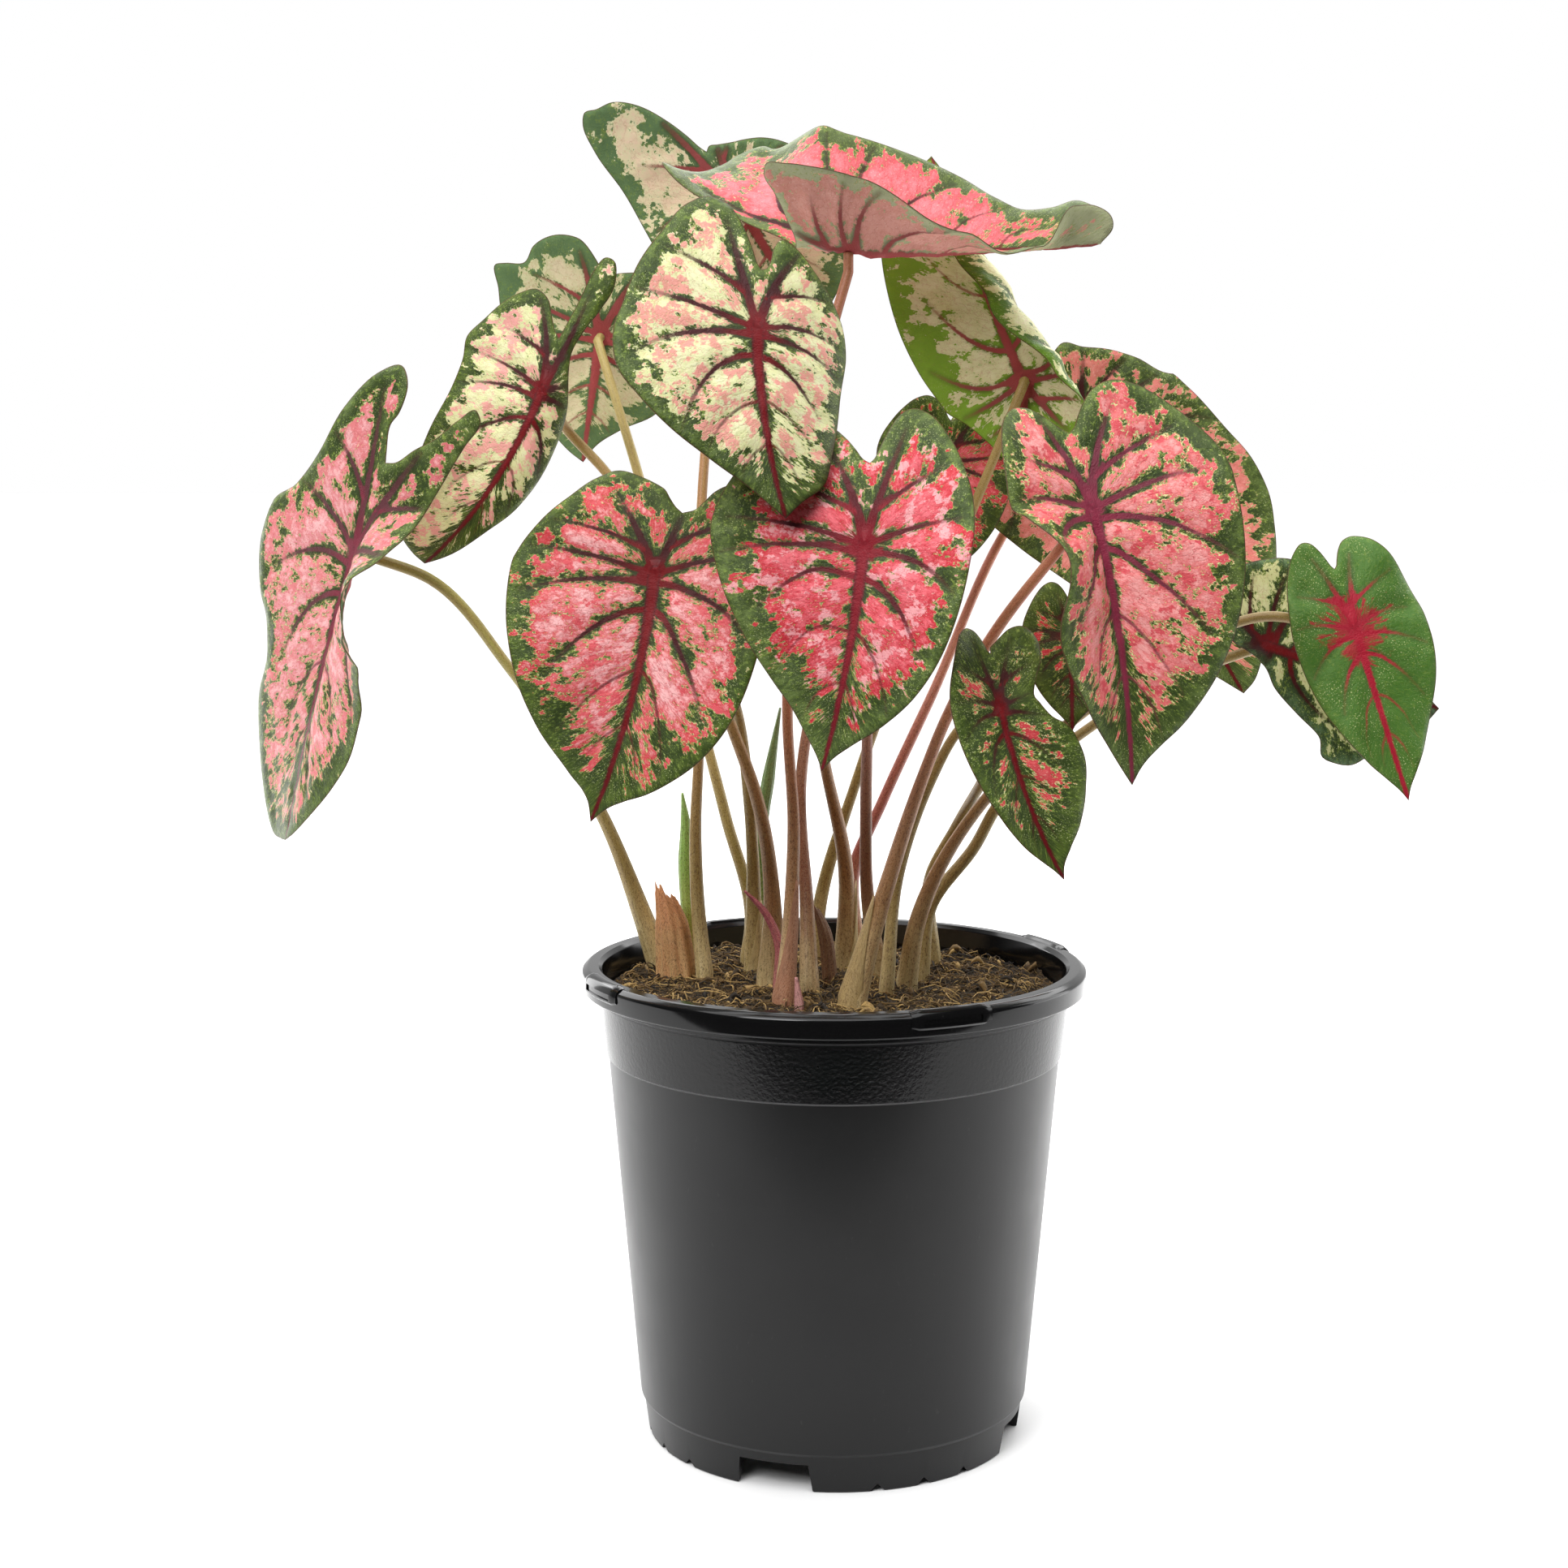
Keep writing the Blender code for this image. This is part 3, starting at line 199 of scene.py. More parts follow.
TOP_RIGHT = [(0, 1), (0.16, 1.02), (0.36, 1.01), (0.44, 0.95), (0.38, 0.86), (0.36, 0.76), (0.47, 0.66),
             (0.65, 0.53), (0.75, 0.41), (0.83, 0.25), (0.88, 0.11), (0.93, -0.1), (1.0, -0.32),
             (1.1, -0.5), (1.15, -0.64), (1.08, -0.76), (0.88, -0.84), (0.62, -0.93), (0.43, -1.04),
             (0.32, -1.13), (0.22, -1.12), (0.14, -1.0), (0.07, -0.85), (0, -0.7)]
TALL_LOBE = [(0, 1), (0.15, 0.92), (0.42, 0.76), (0.70, 0.54), (0.9, 0.3), (0.97, 0.08), (0.96, -0.15),
             (0.94, -0.45), (0.97, -0.75), (0.93, -0.92), (0.85, -0.98), (0.72, -0.96), (0.54, -0.94),
             (0.33, -0.83), (0.17, -0.66), (0.08, -0.52), (0.03, -0.42), (0, -0.38)]
LOW_LOBE = [(0, 1), (0.15, 0.92), (0.42, 0.82), (0.72, 0.62), (0.88, 0.42), (0.93, 0.2), (0.89, -0.02),
            (0.72, -0.19), (0.57, -0.27), (0.44, -0.31), (0.26, -0.35), (0.14, -0.38), (0.05, -0.4),
            (0, -0.38)]
BEHIND_LEFT = [(0, 1), (0.06, 0.95), (0.22, 0.82), (0.42, 0.65), (0.6, 0.5), (0.76, 0.35), (0.9, 0.2),
               (1.0, 0.05), (1.02, -0.17), (0.98, -0.55), (0.86, -0.93), (0.7, -1.05), (0.45, -1.02),
               (0.25, -0.9), (0.1, -0.78), (0, -0.7)]
BEHIND_RIGHT = [(0, 1), (0.12, 0.98), (0.26, 0.92), (0.47, 0.81), (0.70, 0.67), (0.86, 0.54), (0.96, 0.42),
                (0.98, 0.3), (0.93, 0.18), (0.88, 0.07), (0.79, -0.04), (0.65, -0.45), (0.5, -0.72),
                (0.35, -0.9), (0.22, -1.08), (0.12, -1.02), (0.05, -0.85), (0, -0.7)]
ROLLED_LEFT = [(0, 1), (0.3, 0.95), (0.6, 0.87), (0.83, 0.75), (0.95, 0.57), (1.0, 0.38), (0.97, 0.2),
               (0.88, 0.04), (0.72, -0.2), (0.58, -0.5), (0.44, -0.85), (0.3, -0.97), (0.18, -0.9),
               (0.08, -0.78), (0, -0.67)]
FAR_LEFT = [(0, 1), (0.2, 0.96), (0.42, 0.88), (0.75, 0.72), (0.95, 0.60), (0.96, 0.50), (0.74, 0.42),
            (0.6, 0.28), (0.42, 0.12), (0.2, 0), (0.13, -0.25), (0.08, -0.5), (0, -0.6)]

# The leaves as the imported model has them: where the petiole meets the blade, the blade's reach in mm to the
# tip, the lobes and the sides, its turn in degrees, how it folds, curls, bends and waves, its outline where
# it isn't a plain heart, and the petiole's foot, flare and points on the way up
LEAVES = {
    "front_left": dict(
        at=(-54, -61, 285), tip=77, lobes=(34, 32), left=43.5, right=37.5, face=-5, rise=22, spin=-3,
        sway=-21, fold=(6, 6), curl=(10, 10), droop=25, back=15, wave=(1.5, 5, 0), full=(1, 0.8), notch=29,
        edge_left=SLIM_LOBE, edge_right=FULL_LOBE, foot=(-27, 22), flare=3.0,
        stem=[(-27, 16, 187), (-28, 12, 206), (-32, 8, 238), (-36, -3, 252), (-43, -31, 267)]),
    "front_middle": dict(
        at=(8, -78, 294), tip=67, lobes=(42, 43), left=45, right=33, face=-8, rise=20, spin=-3, sway=-13,
        fold=(5, 8), curl=(5, 5), droop=25, back=20, wave=(1, 5, 40), full=(1.3, 0.95), notch=40,
        foot=(15, 12), flare=3.0,
        stem=[(11, 2, 177), (10, -15, 208), (10, -32, 235), (9, -55, 267)]),
    "front_right": dict(
        at=(76, -60, 304), tip=83, lobes=(37, 38), left=26, right=44, face=15, rise=20, spin=9, sway=-4,
        fold=([(-1, 5), (-0.1, 10), (0.2, 42), (0.5, 22), (1, 20)], 5), curl=(0, 10), droop=25, back=10,
        wave=(1.5, 5, 0), full=(1, 0.85), edge_left=WAVED_SIDE, foot=(6, -28), flare=4.6,
        stem=[(15, -32, 182), (27, -38, 221), (34, -42, 240), (49, -47, 268), (66, -52, 291)]),
    "middle": dict(
        at=(-23, -66, 356.5), tip=60, lobes=(47, 41), left=42.5, right=33, face=12, rise=30, spin=-5, sway=20,
        fold=(4, -10), curl=(0, [(-1, -20), (0, -40), (1, -30)]), droop=25, back=10, wave=(1, 5, 0),
        edge_left=MIDDLE_LEFT, edge_right=MIDDLE_RIGHT, foot=(4, 30), flare=4.4,
        stem=[(4, 23, 182), (-3, 6, 220), (-7, -12, 245), (-15, -32, 286), (-22, -57, 343)]),
    "small_front": dict(
        at=(48, -79, 247), tip=54, lobes=(24, 25), left=17, right=21, face=12, rise=15, spin=9, sway=20,
        fold=(20, 0), droop=10, back=10, wave=(1, 5, 0), edge_right=TORN_SIDE, foot=(34, 36), flare=3.0,
        stem=[(33, 35, 178), (41, 32, 195), (48, 6, 214), (51, -42, 234)]),
    "right": dict(
        at=(163, -20, 266), tip=56, lobes=(31, 31), left=20, right=23.5, face=5, rise=15, spin=15, sway=3,
        fold=(2, 2), curl=(-10, -10), droop=10, back=15, wave=(2, 6, 0), foot=(24, 0), flare=3.6,
        stem=[(27, -2, 169), (50, -6, 212), (78, -10, 238), (108, -13, 259), (136, -15, 270)]),
    "left": dict(
        at=(-153, -10, 289), tip=96, lobes=(62, 60), left=44, right=44, face=-32, rise=3, spin=-22, sway=10,
        fold=([(-1, -5), (0, -8), (1, -30)],
              [(-1, -8), (-0.45, -5), (0.05, 48), (0.2, 42), (0.3, 30), (0.45, 24), (0.65, 22), (1, 22)]),
        wave=(1.5, 5, 0), edge_left=BROAD_LEFT, edge_right=BROAD_RIGHT, foot=(-59, 27), flare=4.2,
        stem=[(-64, 25, 165), (-76, 18, 199), (-106, 5, 252), (-130, -3, 281)]),
    "upper_left": dict(
        at=(-95, 10, 341), tip=68, lobes=(38, 45), left=30, right=24, face=-18, rise=15, spin=-18, sway=-36,
        fold=(5, [(-1, -5), (-0.4, -15), (0, -25), (1, -15)]),
        curl=(0, [(-1, -30), (0, -110), (0.5, -100), (1, -60)]), droop=20, back=10, wave=(1, 4, 0),
        edge_left=CUPPED_LEFT, edge_right=CUPPED_RIGHT, foot=(-21, 2), flare=4.2,
        stem=[(-20, -3, 172), (-24, -8, 207), (-34, -6, 236), (-77, 32, 316), (-89, 32, 329)]),
    "back_left": dict(
        at=(-82, 82, 362), tip=45, lobes=(30, 37), left=34, right=36, face=175, rise=15, spin=11,
        fold=(5, 5), wave=(1, 4, 0), edge_left=BACK_LEFT, edge_right=BACK_RIGHT, foot=(-29, 36), flare=2.9,
        stem=[(-28, 37, 160), (-37, 41, 198), (-43, 44, 221), (-68, 64, 315)]),
    "top": dict(
        at=(4, 0, 384), tip=80, lobes=(28, 62), left=38, right=54, face=0, rise=88, spin=92,
        fold=([(-1, 35), (0, 38), (0.45, 12), (0.62, -8), (0.75, 0), (0.9, 65), (1, 80)],
              [(-1, 22), (-0.6, 32), (-0.15, 54), (1, 38)]),
        droop=-4, back=-36, wave=(0.5, 5, 0), full=(1, 1.15), notch=24, edge_left=TOP_LEFT,
        edge_right=TOP_RIGHT, foot=(-16, -28), flare=3.4,
        stem=[(-14, -26, 176), (-13, -23, 202), (-15, -19, 239), (-11, -11, 300), (0, -2, 364)]),
    "top_back": dict(
        at=(-32.5, 60, 405), tip=51, lobes=(54.5, 54.5), left=32.5, right=33.5, face=180, rise=5, spin=-32,
        fold=(5, 5), wave=(1, 4, 0), notch=54.5, edge_left=LOW_LOBE, edge_right=TALL_LOBE, foot=(-43, 11),
        flare=3.2,
        stem=[(-45, 13, 169), (-46, 15, 196), (-45, 18, 221), (-44, 32, 310), (-39, 46, 365)]),
    "rolled": dict(
        at=(63, 40, 345), tip=80, lobes=(28, 24), left=32, right=33, face=180, rise=0, spin=157,
        fold=(5, [(-1, -10), (0, -10), (0.35, -30), (0.65, -60), (1, -60)]),
        curl=(0, [(-1, -100), (0, -125), (0.35, -150), (0.7, -170), (1, -150)]), wave=(1, 4, 0),
        edge_left=ROLLED_LEFT, foot=(-7, 44), flare=2.9,
        stem=[(-4, 43, 171), (7, 42, 208), (14, 41, 229), (48, 36, 307)]),
    "back_right": dict(
        at=(87, 80, 329), tip=108, lobes=(28, 28), left=46, right=46, face=0, rise=12, spin=32, fold=(3, 3),
        droop=10, wave=(1.5, 5, 0), full=(1, 0.85), edge_left=BEHIND_LEFT, edge_right=BEHIND_RIGHT,
        foot=(8, 46), flare=2.9,
        stem=[(7, 49, 178), (17, 52, 202), (33, 58, 236), (66, 80, 303)]),
    "back_middle": dict(
        at=(38, 55, 318), tip=46, lobes=(22, 22), left=24, right=24, face=0, rise=10, spin=-8, fold=(5, 5),
        wave=(1, 4, 0), foot=(-8, -11), flare=3.0,
        stem=[(-9, -2, 176), (-11, 14, 214), (3, 40, 267), (26, 60, 299)]),
    "far_right": dict(
        at=(141, 10, 259), tip=61, lobes=(22, 24), left=30, right=29, face=5, rise=5, spin=70, fold=(3, 3),
        wave=(1, 5, 0), edge_left=FAR_LEFT, foot=(29, 16), flare=3.0,
        stem=[(32, 16, 171), (47, 16, 192), (54, 16, 205), (81, 16, 229), (110, 16, 247)]),
    "small_back": dict(
        at=(75, -12, 263), tip=30, lobes=(18, 18), left=16, right=16, face=0, rise=15, spin=0, fold=(8, 8),
        wave=(0.5, 5, 0), foot=(17, -12), flare=2.6,
        stem=[(21, -10, 188), (31, -9, 217), (39, -8, 232), (64, -7, 252)]),
}

# Young shoots and dry sheaths: foot in the soil, points above it and the radius in mm at each, foot first
SHOOTS = {
    "dry_sheath": dict(foot=(-52, 14), path=[(-54, 14, 165), (-58, 15, 181)], radii=(6.2, 5.2, 1.8)),
    "spear_left": dict(foot=(-48, 25), path=[(-50, 25, 185), (-50, 26, 199), (-51, 27, 208)],
                       radii=(2.2, 2.5, 1.7, 0.4)),
    "spear_right": dict(foot=(-24, 29), path=[(-25, 28, 176), (-25, 27, 192), (-22, 26, 213), (-18, 25, 237)],
                        radii=(2.0, 2.2, 2.6, 2.3, 0.4)),
    "pink_sheath": dict(foot=(-18, -12), path=[(-18, -12, 165), (-23, -11, 175), (-29, -10, 181)],
                        radii=(1.8, 1.7, 1.3, 0.4)),
    "pink_bud": dict(foot=(-11, -36), path=[(-12, -36, 158)], radii=(1.6, 0.5)),
    "dark_sheath": dict(foot=(-1, 6), path=[(-3, 8, 164), (-8, 10, 176)], radii=(2.8, 2.6, 0.4)),
}

# Veins of one side in unit sizes: start, bend and end, then half widths in mm at the start and the end
VEINS = [
    ((0, 0), (0.10, -0.40), (0.30, -0.80), 1.5, 0.3),
    ((0.08, -0.27), (0.33, -0.42), (0.70, -0.50), 0.7, 0.22),
    ((0, 0), (0.40, -0.16), (0.86, -0.14), 0.85, 0.22),
    ((0, 0.04), (0.45, -0.02), (0.88, 0.16), 0.85, 0.22),
    ((0, 0.14), (0.35, 0.16), (0.62, 0.46), 0.8, 0.2),
    ((0, 0.38), (0.28, 0.42), (0.42, 0.68), 0.32, 0.08),
    ((0, 0.60), (0.16, 0.64), (0.22, 0.80), 0.2, 0.06),
]
MIDRIB_HALF_WIDTHS = (1.75, 0.35)
STREAK_FAN = 20.0
STREAK_LENGTH = 0.48


def tone(red, green, blue):
    """A linear colour from display values between 0 and 255."""
    return tuple(round(((v / 255 + 0.055) / 1.055) ** 2.4, 4) for v in (red, green, blue))


PINK = tone(232, 106, 114)
PALE_PINK = tone(240, 156, 160)
CORAL = tone(212, 62, 70)
CREAM = tone(236, 234, 188)
LIME_CREAM = tone(224, 226, 164)
GREEN = tone(90, 110, 38)
DARK_GREEN = tone(42, 58, 18)
# A paler, greyer green: partly the leaf's own green, partly its whitish sheen painted in
GREEN_WITH_PAINTED_SHEEN = tone(106, 126, 62)
GREY_GREEN = tone(104, 134, 92)
MAROON = tone(66, 15, 18)
PURPLE_VEIN = tone(116, 44, 60)
CRIMSON = tone(120, 5, 15)
PALE_SKIN = tone(205, 200, 170)
BACK_PALENESS = 0.42
BACK_VEIN = tone(168, 84, 82)
BACK_MIDRIB = tone(176, 84, 84)
NET_SHADE = tone(226, 190, 180)
# Cream streaks in the bright fields: partly the leaf's own pale streaks, partly painted glints of light
CREAM_STREAK_AND_GLINT = tone(250, 224, 208)
MOTTLE_GREEN = tone(130, 152, 64)
SPECK_YELLOW = tone(204, 212, 146)
VEIN_SHADE = tone(44, 36, 24)
EDGE_BROWN = tone(92, 48, 40)

# Noises in the skin of a blade: the place they follow, then their scale, detail, roughness and distortion
BLADE_NOISES = {
    "broad": ("Place", 0.075, 2.0, 0.5, 0.0),
    "blobs": ("Place", 0.26, 3.0, 0.55, 0.0),
    "blots": ("Streak Place", 0.36, 4.0, 0.6, 0.3),
    "ragged": ("Streak Place", 1.2, 5.0, 0.75, 0.0),
    "threads": ("Streak Place", 1.9, 4.0, 0.75, 0.4),
    "dots": ("Place", 2.1, 2.0, 0.6, 0.0),
    "margin": ("Streak Place", 0.22, 3.0, 0.6, 0.0),
    "tint": ("Streak Place", 0.6, 5.0, 0.7, 0.5),
    "patches": ("Place", 0.19, 3.0, 0.6, 0.0),
    "mottle": ("Streak Place", 1.3, 5.0, 0.78, 0.0),
}

# How each blade is coloured: share of the bright field and how much of it is lost towards the tip, the
# field's inner and outer colour, patches of another colour, flecks at the field's edge, widths in mm of the
# green margin on the left and right and of the green beside the veins, the greens and their mottling, vein
# colours, how far the veins run, the red star at the junction, and the green's tint on the underside
FACE = dict(share=0.95, fade=0.2, field=PALE_PINK, rim=CORAL, patch=PINK, patch_share=-1.0, fleck=LIME_CREAM,
            fleck_share=0.6, margins=(4.5, 4.5), border=1.9, green=GREEN, dark=DARK_GREEN, mottle=0.9,
            specks=0.8, vein=MAROON, midrib=CRIMSON, vein_run=1.0, star=0.04, under=GREY_GREEN)
FACES = {
    "front_left": dict(fade=1.0, field=tone(250, 188, 188), margins=(5, 4.5), border=2.9,
                       patch=tone(222, 88, 96), patch_share=-0.05),
    "front_middle": dict(share=1.15, fade=1.0, border=2.4, field=tone(238, 112, 122), rim=tone(206, 44, 58),
                         margins=(8, 5), patch=tone(244, 166, 170), patch_share=-0.03, fleck_share=0.4,
                         green=GREEN_WITH_PAINTED_SHEEN, vein=tone(88, 18, 26), midrib=tone(136, 18, 34), star=0.08),
    "front_right": dict(share=0.85, fade=0.9, field=tone(250, 172, 168), rim=tone(232, 104, 106),
                        margins=(4, 5), patch=tone(220, 84, 92), patch_share=-0.04, fleck=tone(230, 228, 160),
                        fleck_share=1.0, green=GREEN_WITH_PAINTED_SHEEN, vein=PURPLE_VEIN, midrib=tone(142, 44, 68)),
    "middle": dict(share=1.05, fade=0.9, field=CREAM, rim=LIME_CREAM, patch=tone(236, 160, 146),
                   patch_share=0.02, fleck=CREAM, fleck_share=0.8, specks=0.9, star=0.06, green=GREEN_WITH_PAINTED_SHEEN),
    "small_front": dict(share=-0.2, field=tone(232, 110, 110), margins=(4, 6), mottle=1.0, specks=1.0,
                        fleck_share=0.9, vein_run=0.75),
    "right": dict(share=-3.0, margins=(3, 3), green=tone(92, 128, 54), dark=tone(70, 112, 38), mottle=0.5,
                  specks=1.0, vein=tone(168, 28, 50), midrib=tone(168, 20, 44), vein_run=0.72, star=0.19),
    "left": dict(share=0.65, fade=0.9, field=tone(246, 190, 190), rim=tone(222, 112, 118), margins=(3.5, 4),
                 patch=tone(228, 130, 132), patch_share=-0.05, fleck_share=0.7, green=GREEN_WITH_PAINTED_SHEEN,
                 vein=tone(96, 50, 56), midrib=tone(130, 44, 62)),
    "upper_left": dict(field=CREAM, rim=LIME_CREAM, patch=tone(240, 168, 160), patch_share=0.02, fleck=CREAM,
                       fleck_share=0.8),
    # back_left's pale field is partly painted light: kept bright to stand for light shining through the leaf
    "back_left": dict(share=0.9, field=tone(226, 208, 172), rim=tone(206, 204, 150), fleck_share=0.4,
                      green=GREEN_WITH_PAINTED_SHEEN),
    "top": dict(share=1.3, fade=1.9, field=tone(240, 132, 138), rim=tone(226, 92, 100), fleck_share=0.5,
                green=tone(112, 130, 70), dark=tone(70, 86, 40), under=tone(204, 206, 166)),
    "top_back": dict(share=1.0, field=tone(250, 208, 182), rim=tone(238, 224, 178), fleck=CREAM,
                     fleck_share=0.8, green=GREEN_WITH_PAINTED_SHEEN),
    # rolled's underside green is painted light: brighter than its own green to make up for the shade it sits in
    "rolled": dict(share=0.9, field=tone(246, 244, 200), rim=tone(226, 228, 164), fleck=CREAM,
                   fleck_share=0.8, margins=(8, 5), green=tone(110, 154, 38), dark=tone(74, 108, 26),
                   under=tone(140, 182, 62)),
    # back_right's field is partly painted light: kept bright and pink to stand for light shining through the
    # leaf
    "back_right": dict(share=1.2, field=tone(242, 160, 150), rim=tone(230, 130, 120), margins=(4, 6),
                       green=GREEN_WITH_PAINTED_SHEEN),
    "back_middle": dict(field=tone(238, 120, 130)),
    "far_right": dict(share=0.3, field=CREAM, rim=LIME_CREAM, margins=(4, 4), green=GREY_GREEN),
    "small_back": dict(share=-0.1, field=CORAL),
}

# Inputs of the leaf pattern: places and measures stored in the mesh, and what comes from the table above
BLADE_PLACES = {"Place": "flat_place", "Streak Place": "streak_place"}
BLADE_MEASURES = {"Midrib Gap": 5.0, "Vein Gap": 5.0, "Vein Run": 0.5, "Vein Size": 1.0, "Margin Gap": 5.0,
                  "Margin Share": 1.0, "Reach": 0.5}
LOOK_VALUES = {"Field Share": "share", "Tip Fade": "fade", "Patch Share": "patch_share",
               "Fleck Share": "fleck_share", "Border Width": "border", "Mottle": "mottle", "Specks": "specks",
               "Vein Length": "vein_run", "Star": "star"}
LOOK_COLOURS = {"Field": "field", "Field Rim": "rim", "Patch": "patch", "Fleck": "fleck", "Green": "green",
                "Dark Green": "dark", "Vein": "vein", "Midrib": "midrib"}

# Petiole colours low down and towards the blade, and the foot's colour
OLIVE = tone(152, 128, 60)
STRAW = tone(184, 168, 98)
BROWN = tone(164, 114, 66)
DARK_BROWN = tone(144, 80, 54)
ROSE = tone(184, 104, 80)
PURPLE = tone(170, 66, 74)
FOOT_TAN = tone(224, 206, 152)
STREAK_SHADE = tone(150, 110, 90)
GRAIN_CREAM = tone(228, 204, 160)
SPECK_BROWN = tone(76, 46, 32)
STEM_COLOURS = {
    "front_left": (OLIVE, OLIVE), "front_middle": (DARK_BROWN, tone(170, 98, 84)),
    "front_right": (BROWN, ROSE), "middle": (BROWN, BROWN), "small_front": (OLIVE, OLIVE),
    "right": (BROWN, OLIVE), "left": (OLIVE, tone(156, 152, 72)), "upper_left": (BROWN, OLIVE),
    "back_left": (OLIVE, STRAW), "top": (BROWN, ROSE), "top_back": (OLIVE, BROWN), "rolled": (OLIVE, OLIVE),
    "back_right": (PURPLE, ROSE), "back_middle": (DARK_BROWN, DARK_BROWN), "far_right": (OLIVE, OLIVE),
    "small_back": (OLIVE, OLIVE),
}

# Old leaf feet that wrap a petiole: the side that their tip is on in radians, their height in mm, and their
# colours at the foot and the tip, then how far they stand off in mm, at the foot and more at the top, how
# wide their tip is in radians and what share of the height the rest of them reaches
WRAPS = {
    "front_right": (0.5, 41, tone(176, 150, 96), tone(160, 118, 78)),
    "front_left": (2.6, 30, tone(206, 184, 128), tone(150, 128, 72)),
    "middle": (3.4, 34, tone(222, 204, 150), tone(176, 140, 92)),
    "left": (4.4, 26, tone(212, 190, 130), tone(160, 134, 80)),
    "top": (2.2, 44, tone(170, 112, 84), tone(140, 88, 62)),
}
WRAP_SIDES = 40
WRAP_THICKNESS = 0.35
WRAP_OPENING = 0.5
WRAP_WIDTH = 1.15
WRAP_LOWEST = 0.06
WRAP_SEED = 60

# Shoots' colours at the foot, low down and towards the top, and their roughness
SHOOT_LOOKS = {
    "dry_sheath": (tone(210, 170, 112), tone(190, 116, 66), tone(148, 78, 42), 0.8),
    "spear_left": ((0.50, 0.52, 0.16), (0.22, 0.48, 0.06), (0.05, 0.15, 0.05), 0.45),
    "spear_right": ((0.40, 0.42, 0.16), (0.14, 0.34, 0.07), (0.05, 0.13, 0.06), 0.45),
    "pink_sheath": (tone(204, 128, 124), tone(176, 52, 90), tone(140, 34, 70), 0.55),
    "pink_bud": ((0.62, 0.30, 0.30), (0.50, 0.12, 0.18), (0.40, 0.06, 0.12), 0.55),
    "dark_sheath": ((0.22, 0.10, 0.05), (0.14, 0.05, 0.03), (0.08, 0.03, 0.02), 0.6),
}
TORN_SHEATHS = ("dry_sheath", "dark_sheath")
DRY_SHEATH_WIDENING = 1.2
SHOOT_SIDES = 60
SHOOT_SEED = 40
SHOOT_PLACE_SEED = 30

# The soil's straw threads, pale grains and near-black specks, and the coir's shades and stains
SOIL_STRAW = tone(124, 92, 48)
SOIL_GRAIN = tone(140, 108, 62)
SOIL_BLACK_SPECK = tone(16, 11, 7)
COIR_DARK = tone(34, 25, 12)
COIR_BROWN = tone(98, 74, 36)
COIR_STRAW = tone(188, 156, 96)
COIR_STAIN = (0.10, 0.05, 0.02)

# Scuffs of the pot, and the painted highlight: a line of light painted on its ledge
SCUFF_GREY = (0.04, 0.04, 0.04)
LEDGE_HIGHLIGHT_GREY = (0.12, 0.12, 0.12)

# Stage, in metres, degrees and watts: each area light has its place, its aim, its size and its power
FLOOR_REACH = 30.0
FLOOR_FRONT = -0.24
FLOOR_DROP = 0.0002
SUN_SPREAD = 70
SUN_TILT = (16, 0, -18)
AREA_LIGHTS = {
    "key": ((-0.75, -1.3, 1.3), (0, 0, 0.28), (0.8, 0.8), 19),
    "back_floor": ((0, 0.9, 0.9), (0, 0.9, 0), (2.2, 0.9), 19),
    "right_box": ((1.2, 0.45, 0.35), (0, 0, 0.12), (0.7, 1.2), 7),
    "left_box": ((-0.9, 0.95, 0.3), (0, 0, 0.1), (0.3, 1.2), 4),
}


class CaladiumPotSettings(bpy.types.PropertyGroup):
    colour: FloatVectorProperty(name="Plastic", description="Colour of the glossy plastic", size=3,
                                subtype="COLOR", default=(0.0035, 0.0035, 0.0037))
    sides: IntProperty(name="Sides", description="Facets round the pot", default=POT_SIDES, min=48)
    band_bump: FloatProperty(name="Orange peel", description="Depth of the band's fine texture",
                             default=0.072, min=0.0)


class CaladiumBladeSettings(bpy.types.PropertyGroup):
    grid: FloatProperty(name="Grid", description="Spacing of the points across a blade in mm", default=1.9,
                        min=0.8)
    thickness: FloatProperty(name="Thickness", description="Thickness of a blade between its ribs in mm",
                             default=0.5, min=0.2)
    rib_height: FloatProperty(name="Rib height", description="How far the midrib stands out behind, in mm",
                              default=1.3, min=0.0)
    quilt: FloatProperty(name="Quilting", description="How far the blade bulges between its veins, in mm",
                         default=0.8, min=0.0)


class CaladiumSoilSettings(bpy.types.PropertyGroup):
    colour: FloatVectorProperty(name="Soil", description="Colour of the peat", size=3, subtype="COLOR",
                                default=(0.034, 0.022, 0.008))
    fibres: IntProperty(name="Fibres", description="Number of coir fibres on the soil", default=4200, min=0)
    seed: IntProperty(name="Seed", description="Seed of the fibres' places", default=11)


class CaladiumStageSettings(bpy.types.PropertyGroup):
    floor: FloatVectorProperty(name="Floor", description="Colour of the floor", size=3, subtype="COLOR",
                               default=(0.9, 0.9, 0.9))
    sky: FloatProperty(name="Sky", description="Strength of the soft light all round", default=0.2, min=0.0)
    sun: FloatProperty(name="Overhead light", description="Strength of the broad light from above",
                       default=3.2, min=0.0)


